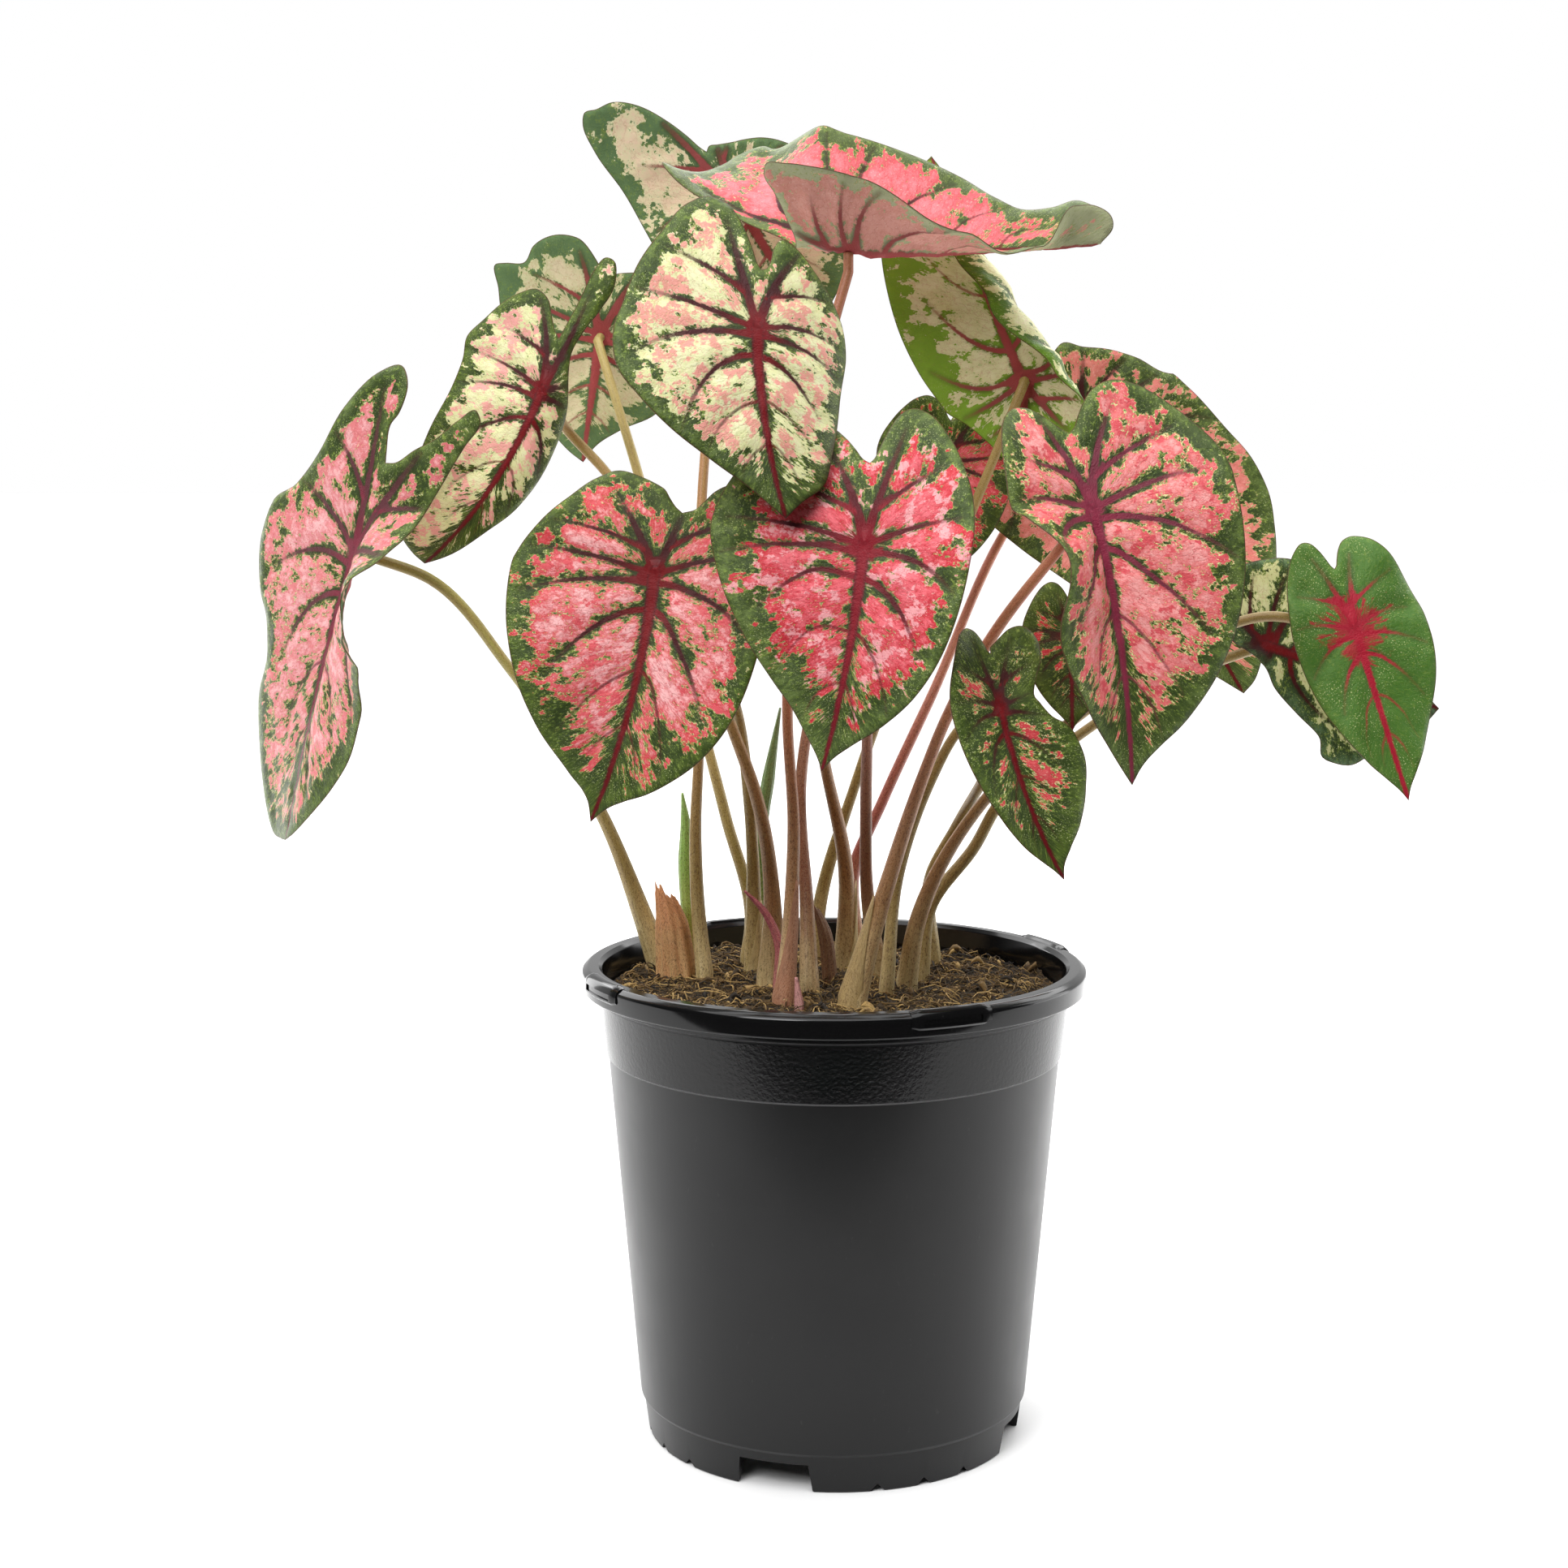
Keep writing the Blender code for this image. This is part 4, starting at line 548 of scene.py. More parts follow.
def smooth_curve(points, per_span):
    """Points on a smooth curve through the given ones, which may be unevenly spaced."""
    points = np.array(points, float)
    steps = np.linalg.norm(np.diff(points, axis=0), axis=1)[:, None]
    slopes = np.diff(points, axis=0) / steps
    tangents = np.empty_like(points)
    tangents[0] = slopes[0]
    tangents[-1] = slopes[-1]
    tangents[1:-1] = (slopes[1:] * steps[:-1] + slopes[:-1] * steps[1:]) / (steps[:-1] + steps[1:])
    out = []
    for k in range(len(points) - 1):
        for u in np.arange(per_span) / per_span:
            rest = (1 - u) ** 2
            out.append(points[k] * (1 + 2 * u) * rest + tangents[k] * steps[k] * u * rest
                       + points[k + 1] * u * u * (3 - 2 * u) + tangents[k + 1] * steps[k] * u * u * (u - 1))
    out.append(points[-1])
    return np.array(out)


def smooth_share(value):
    """A step from 0 to 1 that starts and ends gently."""
    value = np.clip(value, 0, 1)
    return value * value * (3 - 2 * value)


def full_turn(count):
    """Angles in radians, evenly round a circle."""
    return np.linspace(0, 2 * math.pi, count, endpoint=False)


def flat_place(leaf, unit):
    """Turn unit places into mm, with the blade's own sizes on either side blended across the midrib."""
    x, y = unit[:, 0], unit[:, 1]
    lobe_left, lobe_right = leaf["lobes"]
    notch = leaf.get("notch", 0.5 * (lobe_left + lobe_right))
    full_left, full_right = leaf.get("full", (1, 1))
    share = smooth_share(np.abs(x) / 0.35)
    lobe = notch + (np.where(x < 0, lobe_left, lobe_right) - notch) * share
    power = 1 + (np.where(x < 0, full_left, full_right) - 1) * share
    side = np.where(x < 0, leaf["left"], leaf["right"]) * x
    along = np.where(y > 0, leaf["tip"] * np.abs(y) ** power, lobe * y)
    return np.column_stack([side, along])


def blade_edge(leaf):
    """The blade's closed outline in mm within its own flat plane."""
    right = smooth_curve(leaf.get("edge_right", HEART), EDGE_DETAIL)
    left = smooth_curve(leaf.get("edge_left", HEART), EDGE_DETAIL) * (-1, 1)
    unit = np.concatenate([right, left[-2:0:-1]])
    return flat_place(leaf, unit)


def angle_along(value, along):
    """An angle in radians, where the value may change along the blade."""
    if not isinstance(value, list):
        value = [(-1, value), (1, value)]
    angle = np.full_like(along, value[0][1], dtype=float)
    for (start, before), (end, after) in zip(value[:-1], value[1:]):
        angle += (after - before) * smooth_share((along - start) / (end - start))
    return np.radians(angle)


def never_zero(angle):
    """The angle, or a tiny one in its place, so that it can be divided by."""
    return np.where(np.abs(angle) < TINY, TINY, angle)


def arc_reach(length, start, turn):
    """How far a strip of this length goes along and up, when it starts at one angle and turns evenly."""
    turn = never_zero(turn)
    along = (np.sin(start + turn) - np.sin(start)) / turn * length
    up = (np.cos(start) - np.cos(start + turn)) / turn * length
    return along, up


def blade_axes(leaf):
    """The blade's directions to its right side, to its tip and out of its face."""
    turn, rise, spin = (math.radians(leaf[key]) for key in ("face", "rise", "spin"))
    out = np.array([math.sin(turn) * math.cos(rise), -math.cos(turn) * math.cos(rise), math.sin(rise)])
    down = np.array([math.sin(turn) * math.sin(rise), -math.cos(turn) * math.sin(rise), -math.cos(rise)])
    across = np.cross(out, down)
    side = across * math.cos(spin) - down * math.sin(spin)
    tip = down * math.cos(spin) + across * math.sin(spin)
    return side, tip, out


def blade_points(leaf, flat):
    """Bend flat places of the blade into the leaf's shape, as points in mm."""
    s, t = flat[:, 0], flat[:, 1]
    side, tip, out = blade_axes(leaf)
    left = s < 0
    reach, lobe = leaf["tip"], max(leaf["lobes"])
    along = np.where(t < 0, t / lobe, t / reach)
    share = np.abs(s) / np.where(left, leaf["left"], leaf["right"])
    fold, curl = (np.where(left, *(angle_along(value, along) for value in pair))
                  for pair in (leaf["fold"], leaf.get("curl", (0, 0))))
    curl = curl * share
    sideways, lift = arc_reach(np.abs(s), fold, curl)
    sideways = sideways * np.sign(s)
    lean = (fold + curl) * np.sign(s)

    heading = never_zero(np.radians(leaf.get("sway", 0)) * t / reach)
    ahead = np.sin(heading) / heading * t
    aside = (1 - np.cos(heading)) / heading * t
    bend = np.where(t > 0, np.radians(leaf.get("droop", 0)) * np.abs(t) / reach,
                    np.radians(leaf.get("back", 0)) * np.abs(t) / lobe)
    forward, drop = arc_reach(np.abs(ahead), np.zeros_like(bend), bend)
    forward = forward * np.sign(t)
    bend = (bend * np.sign(t))[:, None]
    axis = tip * np.cos(bend) - out * np.sin(bend)
    normal = out * np.cos(bend) + tip * np.sin(bend)
    cross = side * np.cos(heading)[:, None] - axis * np.sin(heading)[:, None]

    height, count, phase = leaf["wave"]
    distance = np.clip(np.hypot(share, along), 0, WAVE_LIMIT)
    around = np.arctan2(share * np.sign(s), along)
    ripple = height * distance ** 2 * np.sin(count * around + math.radians(phase))
    lift = lift + ripple * np.cos(lean)
    sideways = sideways - ripple * np.sin(lean)
    return (np.array(leaf["at"], float) + forward[:, None] * tip - drop[:, None] * out
            + aside[:, None] * side + sideways[:, None] * cross + lift[:, None] * normal)


def blade_normals(leaf, flat, step=0.4):
    """The direction out of the blade's upper face at each flat place."""
    across = blade_points(leaf, flat + (step, 0)) - blade_points(leaf, flat - (step, 0))
    along = blade_points(leaf, flat + (0, step)) - blade_points(leaf, flat - (0, step))
    normal = np.cross(along, across)
    return normal / np.linalg.norm(normal, axis=1)[:, None]


def inside(points, edge):
    """Which points lie inside a closed outline."""
    x, y = points[:, :1], points[:, 1:]
    ax, ay = edge.T
    bx, by = np.roll(edge, -1, axis=0).T
    crosses = (ay > y) != (by > y)
    with np.errstate(divide="ignore", invalid="ignore"):
        hit = x < ax + (y - ay) / (by - ay) * (bx - ax)
    return np.sum(crosses & hit, axis=1) % 2 == 1


def to_segments(points, starts, spans):
    """For each point and each segment, how far along it the nearest place lies and how far away that is."""
    length = np.maximum(np.sum(spans ** 2, axis=1), 1e-9)
    offset = points[:, None] - starts[None]
    share = np.clip(np.sum(offset * spans, axis=2) / length, 0, 1)
    return share, np.linalg.norm(offset - share[..., None] * spans, axis=2)


def distance_to(points, edge):
    """Distance of each point to a closed outline."""
    return to_segments(points, edge, np.roll(edge, -1, axis=0) - edge)[1].min(axis=1)


def lengths_along(line):
    """Distance of each point of a line from its start, measured along it."""
    return np.concatenate([[0], np.cumsum(np.linalg.norm(np.diff(line, axis=0), axis=1))])


def resampled(line, widths):
    """The vein's points at even steps, with the half width at each."""
    lengths = lengths_along(line)
    count = max(3, int(lengths[-1] / VEIN_STEP) + 1)
    places = np.linspace(0, lengths[-1], count)
    even = np.column_stack([np.interp(places, lengths, line[:, k]) for k in range(2)])
    return even, np.interp(places, lengths, widths)


def curve_between(start, bend, end, share):
    """Points on the curve that leaves the start and reaches the end by way of the bend."""
    return start * (1 - share) ** 2 + 2 * bend * share * (1 - share) + end * share * share


def blade_veins(leaf, edge, seed):
    """Centre lines of the blade's veins in flat mm with their half widths: the midrib first."""
    rib = np.linspace((0, -1.0), edge[0] * 0.985, 60)
    thick, thin = MIDRIB_HALF_WIDTHS
    size = min(1.0, (leaf["left"] + leaf["right"]) / FULL_BLADE_WIDTH)
    share = np.clip(rib[:, 1] / leaf["tip"], 0, 1)
    veins = [resampled(rib, thin + (thick * size - thin) * (1 - share) ** 1.3)]
    rng = np.random.default_rng(seed)
    u = np.linspace(0, 1, 30)[:, None]
    for mirror in (1, -1):
        for start, bend, end, wide, narrow in VEINS:
            start, bend, end = (np.array(p, float) for p in (start, bend, end))
            bend = bend + rng.uniform(-BEND_JITTER, BEND_JITTER, 2)
            end = end + rng.uniform(-END_JITTER, END_JITTER, 2)
            flat = flat_place(leaf, curve_between(start, bend, end, u) * (mirror, 1))
            keep = inside(flat, edge) & (distance_to(flat, edge) > VEIN_END_MARGIN)
            keep[:2] = True
            last = len(keep) if keep.all() else int(np.argmin(keep))
            if last >= SHORTEST_VEIN:
                half = (wide + (narrow - wide) * u[:last, 0] ** 0.8) * size
                veins.append(resampled(flat[:last], half))
    return veins


def vein_gaps(points, veins):
    """Distance of each point to the edge of its nearest vein, how far along it lies and how thick it is."""
    gaps, runs, sizes = [], [], []
    rows = np.arange(len(points))
    for line, widths in veins:
        share, distance = to_segments(points, line[:-1], line[1:] - line[:-1])
        half = widths[:-1] + (widths[1:] - widths[:-1]) * share
        gap = distance - half
        nearest = gap.argmin(axis=1)
        gaps.append(gap[rows, nearest])
        runs.append((nearest + share[rows, nearest]) / (len(line) - 1))
        sizes.append(half[rows, nearest])
    best = np.argmin(gaps, axis=0)
    return [np.array(values)[best, rows] for values in (gaps, runs, sizes)]


def streak_place(leaf, flat, seed):
    """Places squeezed along the side veins, so that a noise read there makes streaks beside them."""
    side, along = flat.T
    share = np.abs(side) / np.where(side < 0, leaf["left"], leaf["right"])
    ahead = along * (0.5 / (share + 0.2)) ** 0.3
    turned = np.arctan2(along, np.abs(side)) * STREAK_FAN
    run = np.where(along > 0, np.abs(side), np.hypot(side, along))
    return np.column_stack([np.where(along > 0, ahead, turned), run * STREAK_LENGTH,
                            side * 0.25 + seed * SEED_SPACING])


def blade_net(leaf, grid, seed):
    """Triangles that fill the flat blade and follow its veins, with the distances that its colours use."""
    edge = blade_edge(leaf)
    veins = blade_veins(leaf, edge, seed)
    points = [edge]
    edges = []
    count = len(edge)
    for line, _ in veins:
        edges += [(count + k, count + k + 1) for k in range(len(line) - 1)]
        points.append(line)
        count += len(line)
    fixed = np.concatenate(points)
    low, high = edge.min(axis=0), edge.max(axis=0)
    rows = np.arange(int(low[1] / grid / ROW_SHARE) - 1, int(high[1] / grid / ROW_SHARE) + 2)
    columns = np.arange(int(low[0] / grid) - 1, int(high[0] / grid) + 2)
    places = np.array([((i + 0.5 * (j % 2)) * grid, j * grid * ROW_SHARE) for j in rows for i in columns])
    places = places[inside(places, edge)]
    clear = np.min(np.linalg.norm(places[:, None] - fixed[None], axis=2), axis=1) > CLEAR_SHARE * grid
    everything = np.concatenate([fixed, places[clear]])
    flat, _, faces, origins, *_ = delaunay_2d_cdt([Vector(p) for p in everything], edges,
                                                  [list(range(len(edge)))], 1, 1e-3)
    flat = np.array([tuple(p) for p in flat])
    rim = np.full(len(edge), -1)
    for new, sources in enumerate(origins):
        for source in sources:
            if source < len(edge):
                rim[source] = new
    midrib_gap, _, _ = vein_gaps(flat, veins[:1])
    return (flat, np.array([tuple(f) for f in faces]), rim[rim >= 0], midrib_gap,
            *vein_gaps(flat, veins[1:]), distance_to(flat, edge))


def add_point_values(mesh, name, values):
    """Store a number or a place for each point of the mesh, which its material reads."""
    values = np.asarray(values, np.float32)
    kind, key = ("FLOAT", "value") if values.ndim == 1 else ("FLOAT_VECTOR", "vector")
    mesh.attributes.new(name, kind, "POINT").data.foreach_set(key, values.ravel())


def solid_mesh(name, points, faces):
    """A smooth mesh of points in mm."""
    mesh = bpy.data.meshes.new(name)
    mesh.from_pydata((np.array(points, float) * MM).tolist(), [], faces)
    mesh.shade_smooth()
    return mesh


def ring_faces(low, high, sides, inward=False):
    """Faces between two rings of points, given the number of each ring's first point."""
    faces = []
    for j in range(sides):
        n = (j + 1) % sides
        face = (low + j, low + n, high + n, high + j)
        faces.append((face[0], *face[:0:-1]) if inward else face)
    return faces


def bulges(flat, scale, layer):
    """Smooth noise over the flat blade."""
    return np.array([noise.noise((scale * s, scale * t, layer)) for s, t in flat])


def make_blade(name, leaf, look, settings):
    """A thin closed blade with raised ribs behind and a quilted face."""
    seed = look["seed"]
    flat, faces, rim, midrib, side_gap, run, size, margin = blade_net(leaf, settings.grid, seed)
    centre = blade_points(leaf, flat)
    normal = blade_normals(leaf, flat)
    gap = np.minimum(midrib, side_gap)
    reach = np.hypot(flat[:, 0], flat[:, 1])
    fade = np.clip(1 - reach / (1.05 * leaf["tip"]), 0.12, 1)
    edge_fade = smooth_share(margin / EDGE_FADE_WIDTH)
    quilt = settings.quilt * (smooth_share(gap / QUILT_WIDTH) - 0.5) * edge_fade
    relief = sum(depth * bulges(flat, scale, seed * shift) for scale, shift, depth in BULGES)
    quilt = quilt + relief * edge_fade
    half = 0.5 * settings.thickness * (0.45 + 0.55 * smooth_share(margin / 1.5))
    groove = GROOVE_DEPTH * (1 - smooth_share(gap / 0.9))
    side_rib = SIDE_RIB_SHARE * (1 - smooth_share((side_gap + 0.7) / 1.5))
    rib = settings.rib_height * fade * np.maximum(1 - smooth_share((midrib + 1.2) / 2.2), side_rib)
    seat = smooth_share((reach - PETIOLE_SEAT_RADIUS) / 4)
    rib = rib * (0.25 + 0.75 * seat) * edge_fade
    upper = centre + normal * (quilt * seat + half - groove)[:, None]
    lower = centre + normal * (quilt * seat - half - rib)[:, None]

    count = len(flat)
    across = flat[faces[:, 1]] - flat[faces[:, 0]]
    along = flat[faces[:, 2]] - flat[faces[:, 0]]
    flip = across[:, 0] * along[:, 1] - across[:, 1] * along[:, 0] > 0
    faces[flip] = faces[flip][:, ::-1]
    under = faces[:, ::-1] + count
    after = np.roll(rim, -1)
    loop = np.column_stack([rim, rim + count, after + count, after])
    start, end = flat[rim], flat[after]
    if np.sum(start[:, 0] * end[:, 1] - start[:, 1] * end[:, 0]) > 0:
        loop = loop[:, ::-1]
    mesh = solid_mesh(name, np.concatenate([upper, lower]), faces.tolist() + under.tolist() + loop.tolist())
    backs = np.zeros(len(mesh.polygons), np.int32)
    backs[len(faces):2 * len(faces)] = 1
    mesh.polygons.foreach_set("material_index", backs)

    left, right = look["margins"]
    margin_width = left + (right - left) * smooth_share(0.5 + flat[:, 0] / 8)
    values = [np.column_stack([flat, np.full(count, seed * SEED_SPACING)]), streak_place(leaf, flat, seed),
              midrib, side_gap, run, np.minimum(size / 0.6, 1), margin, margin / margin_width,
              reach / leaf["tip"]]
    for label, each in zip([*BLADE_PLACES.values(), *map(attribute_name, BLADE_MEASURES)], values):
        add_point_values(mesh, label, np.concatenate([each, each]))
    mesh.materials.append(blade_material("face_" + name, look, False))
    mesh.materials.append(blade_material("back_" + name, look, True))
    return place_piece("leaf_" + name, mesh, ["blade_" + name])


def linked(name, data):
    """A new object in the scene."""
    item = bpy.data.objects.new(name, data)
    bpy.context.scene.collection.objects.link(item)
    return item


def place_piece(name, mesh, nodes):
    """Put a finished mesh in the scene, on the body, in place of its nodes."""
    piece = linked(name, mesh)
    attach(piece, BODY)
    if nodes:
        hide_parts(*nodes)
    return piece


class Wiring:
    """Adds shader nodes to a tree and joins them."""

    def __init__(self, tree):
        self.tree = tree

    def node(self, kind, inputs=None, **settings):
        """A new node with its inputs fed, laid out after the ones before it."""
        row, column = divmod(len(self.tree.nodes), NODES_IN_ROW)
        item = self.tree.nodes.new(kind)
        item.location = (180 * column, -220 * row)
        for key, value in settings.items():
            setattr(item, key, value)
        for key, value in (inputs or {}).items():
            self.feed(item.inputs[key], value)
        return item

    def feed(self, socket, value):
        """Join another node's output to the socket, or give the socket a value."""
        if isinstance(value, bpy.types.NodeSocket):
            self.tree.links.new(value, socket)
        else:
            socket.default_value = value

    def math(self, operation, first, second=0.0):
        return self.node("ShaderNodeMath", {0: first, 1: second}, operation=operation).outputs[0]

    def times(self, first, second):
        return self.math("MULTIPLY", first, second)

    def plus(self, first, second):
        return self.math("ADD", first, second)

    def minus(self, first, second):
        return self.math("SUBTRACT", first, second)

    def over(self, first, second):
        return self.math("DIVIDE", first, second)

    def step(self, value, low, high, start=0.0, end=1.0):
        """A smooth step of the value from low to high."""
        item = self.node("ShaderNodeMapRange", {"Value": value, "From Min": low, "From Max": high,
                                                "To Min": start, "To Max": end},
                         interpolation_type="SMOOTHSTEP")
        return item.outputs["Result"]

    def mix(self, share, first, second, blend="MIX"):
        """The first colour, with the given share of the second mixed in."""
        item = self.node("ShaderNodeMix", data_type="RGBA", blend_type=blend)
        for key, value in ((0, share), (6, first), (7, second)):
            if isinstance(value, tuple):
                value = (*value[:3], 1.0)
            self.feed(item.inputs[key], value)
        return item.outputs[2]

    def noise(self, place, scale, detail, roughness, distortion=0.0):
        item = self.node("ShaderNodeTexNoise", {"Vector": place, "Scale": scale, "Detail": detail,
                                                "Roughness": roughness, "Distortion": distortion})
        return item.outputs["Fac"]

    def attribute(self, name, output="Fac"):
        return self.node("ShaderNodeAttribute", attribute_name=name).outputs[output]

    def object_place(self):
        return self.node("ShaderNodeTexCoord").outputs["Object"]

    def stretched(self, place, scale):
        return self.node("ShaderNodeVectorMath", {0: place, 1: scale}, operation="MULTIPLY").outputs[0]

    def bump(self, shader, height, strength, distance):
        """Fine relief for the shader, with its depth in metres."""
        item = self.node("ShaderNodeBump", {"Strength": strength, "Distance": distance, "Height": height})
        self.feed(shader["Normal"], item.outputs[0])


def new_group(name, inputs, outputs):
    """A node group with named inputs (name, kind, default) and outputs (name, kind)."""
    group = bpy.data.node_groups.new(name, "ShaderNodeTree")
    for label, kind, default in inputs:
        socket = group.interface.new_socket(label, in_out="INPUT", socket_type=kind)
        if default is not None:
            socket.default_value = default
    for label, kind in outputs:
        group.interface.new_socket(label, in_out="OUTPUT", socket_type=kind)
    wiring = Wiring(group)
    return group, wiring, wiring.node("NodeGroupInput").outputs, wiring.node("NodeGroupOutput").inputs


def colour4(colour):
    return (*colour, 1.0)


def leaf_pattern_group():
    """Ragged bright fields between the veins, green beside them and along the margin, and coloured veins."""
    inputs = [(label, "NodeSocketVector", None) for label in BLADE_PLACES]
    inputs += [(label, "NodeSocketFloat", value) for label, value in BLADE_MEASURES.items()]
    inputs += [(label, "NodeSocketFloat", FACE[key]) for label, key in LOOK_VALUES.items()]
    inputs += [(label, "NodeSocketColor", colour4(FACE[key])) for label, key in LOOK_COLOURS.items()]
    outputs = [("Color", "NodeSocketColor"), ("Height", "NodeSocketFloat")]
    group, wire, given, result = new_group("leaf_pattern", inputs, outputs)
    step, mix, times, plus, minus, over = wire.step, wire.mix, wire.times, wire.plus, wire.minus, wire.over
    place, streak = given["Place"], given["Streak Place"]
    noises = {label: wire.noise(given[followed], *values)
              for label, (followed, *values) in BLADE_NOISES.items()}
    broad, blots, ragged = noises["broad"], noises["blots"], noises["ragged"]
    threads, dots = noises["threads"], noises["dots"]

    def about(value, amount):
        return times(minus(value, 0.5), amount)

    # Level of the bright field: above zero it shows, below zero the green does
    by_vein = step(over(given["Vein Gap"], given["Border Width"]), 0.0, 1.4, 1.7, 0.0)
    spread = times(given["Border Width"], step(given["Reach"], 0.2, 0.85, 0.9, 2.4))
    by_midrib = step(over(given["Midrib Gap"], spread), 0.0, 1.1, 1.7, 0.0)
    level = given["Field Share"]
    for part in (about(broad, 3.0), about(blots, 5.5), about(noises["blobs"], 4.0), about(ragged, 4.5)):
        level = plus(level, part)
    level = minus(level, wire.math("MAXIMUM", times(by_vein, given["Vein Size"]), by_midrib))
    edge_share = plus(given["Margin Share"], step(noises["margin"], 0.35, 0.65, -0.5, 1.1))
    level = minus(level, step(edge_share, 0.1, 2.2, 3.0, 0.0))
    level = minus(level, times(step(given["Reach"], 0.35, 1.0), given["Tip Fade"]))
    mask = step(level, -0.02, 0.03)

    # The field's colours, patches, fine net, pale streaks that are partly painted glints, and flecks
    inner = plus(level, step(given["Margin Share"], 1.0, 3.5, -0.35, 0.25))
    colour = mix(step(inner, 0.0, 2.2), given["Field Rim"], given["Field"])
    colour = mix(step(noises["tint"], 0.48, 0.66, 0.0, 0.45), colour, given["Field Rim"])
    patch = plus(plus(noises["patches"], about(ragged, 0.5)), given["Patch Share"])
    colour = mix(step(patch, 0.50, 0.57), colour, given["Patch"])
    shift = wire.node("ShaderNodeTexNoise", {"Vector": place, "Scale": 0.8, "Detail": 3.0}).outputs["Color"]
    bent = wire.node("ShaderNodeVectorMath", {0: shift, 1: (2.4, 2.4, 2.4), 2: streak},
                     operation="MULTIPLY_ADD").outputs[0]
    net = wire.node("ShaderNodeTexVoronoi", {"Vector": bent, "Scale": 0.5, "Randomness": 1.0},
                    feature="DISTANCE_TO_EDGE").outputs["Distance"]
    lace = times(step(net, 0.0, 0.09, 0.65, 0.0), step(threads, 0.40, 0.60))
    colour = mix(lace, colour, mix(1.0, given["Field Rim"], NET_SHADE, "MULTIPLY"))
    # Pale cream streaks: partly the field's own streaks, partly painted glints
    colour = mix(step(threads, 0.58, 0.68, 0.0, 0.5), colour, CREAM_STREAK_AND_GLINT)
    near = step(wire.math("ABSOLUTE", level), 0.05, 0.50, 1.0, 0.0)
    flecks = times(step(plus(threads, times(near, 0.17)), 0.66, 0.70), step(near, 0.0, 0.3))
    flecks = times(flecks, given["Fleck Share"])

    # The green, darker inland, with mottling, specks and a pale fringe
    green = mix(times(step(given["Margin Share"], 0.1, 1.3), 0.75), given["Green"], given["Dark Green"])
    green = mix(step(blots, 0.42, 0.58, 0.6, 0.0), green, given["Dark Green"])
    green = mix(step(ragged, 0.40, 0.62, 0.35, 0.0), green, given["Dark Green"])
    mottle = plus(noises["mottle"], step(level, -0.9, -0.1, 0.0, 0.12))
    green = mix(times(step(mottle, 0.52, 0.66), given["Mottle"]), green, MOTTLE_GREEN)
    specks = times(times(step(dots, 0.61, 0.67), step(broad, 0.38, 0.60)), given["Specks"])
    green = mix(specks, green, SPECK_YELLOW)
    fringe = times(step(level, -0.13, -0.03), step(threads, 0.40, 0.55))
    green = mix(times(fringe, given["Fleck Share"]), green, given["Fleck"])
    colour = mix(mask, green, colour)
    colour = mix(flecks, colour, given["Fleck"])

    # Shade beside the veins, side veins, midrib, the red star at the junction and the dark edge line
    gap = wire.math("MINIMUM", given["Midrib Gap"], given["Vein Gap"])
    shade = times(step(gap, 0.0, 1.8, 0.7, 0.0), step(level, -0.1, 0.5, 1.0, 0.25))
    colour = mix(times(shade, given["Vein Size"]), colour, VEIN_SHADE)
    left_over = over(given["Vein Run"], given["Vein Length"])
    side = mix(step(left_over, 0.0, 0.4), given["Midrib"], given["Vein"])
    side_mask = step(plus(given["Vein Gap"], about(ragged, 1.2)), -0.05, 0.5, 1.0, 0.0)
    side_mask = times(side_mask, step(left_over, 0.55, 1.05, 1.0, 0.15))
    side_mask = times(side_mask, step(given["Vein Size"], 0.1, 0.7, 0.6, 1.0))
    colour = mix(side_mask, colour, side)
    main_edge = plus(given["Midrib Gap"], about(ragged, 1.8))
    midrib = mix(step(main_edge, -0.9, 0.2, 0.0, 0.7), given["Midrib"], given["Vein"])
    colour = mix(step(main_edge, -0.05, 0.55, 1.0, 0.0), colour, midrib)
    star = plus(over(given["Reach"], given["Star"]), about(blots, 3.0))
    colour = mix(step(star, 0.5, 1.0, 0.9, 0.0), colour, given["Midrib"])
    colour = mix(step(given["Margin Gap"], 0.10, 0.40, 0.7, 0.0), colour, EDGE_BROWN)

    height = plus(step(net, 0.0, 0.14, 0.0, 0.3), times(ragged, 0.9))
    wire.feed(result["Color"], colour)
    wire.feed(result["Height"], plus(height, times(dots, 0.35)))
    return group


def shared_group(name, maker):
    return bpy.data.node_groups.get(name) or maker()


def new_material(name):
    """A material that holds a plain shader, with the means to wire it and its inputs."""
    material = bpy.data.materials.new(name)
    material.use_nodes = True
    tree = material.node_tree
    tree.nodes.clear()
    wire = Wiring(tree)
    shader = wire.node("ShaderNodeBsdfPrincipled")
    output = wire.node("ShaderNodeOutputMaterial")
    tree.links.new(shader.outputs[0], output.inputs["Surface"])
    return material, wire, shader.inputs


def paler(colour, amount, tint):
    return tuple(c + (t - c) * amount for c, t in zip(colour, tint))


def attribute_name(label):
    return label.lower().replace(" ", "_")


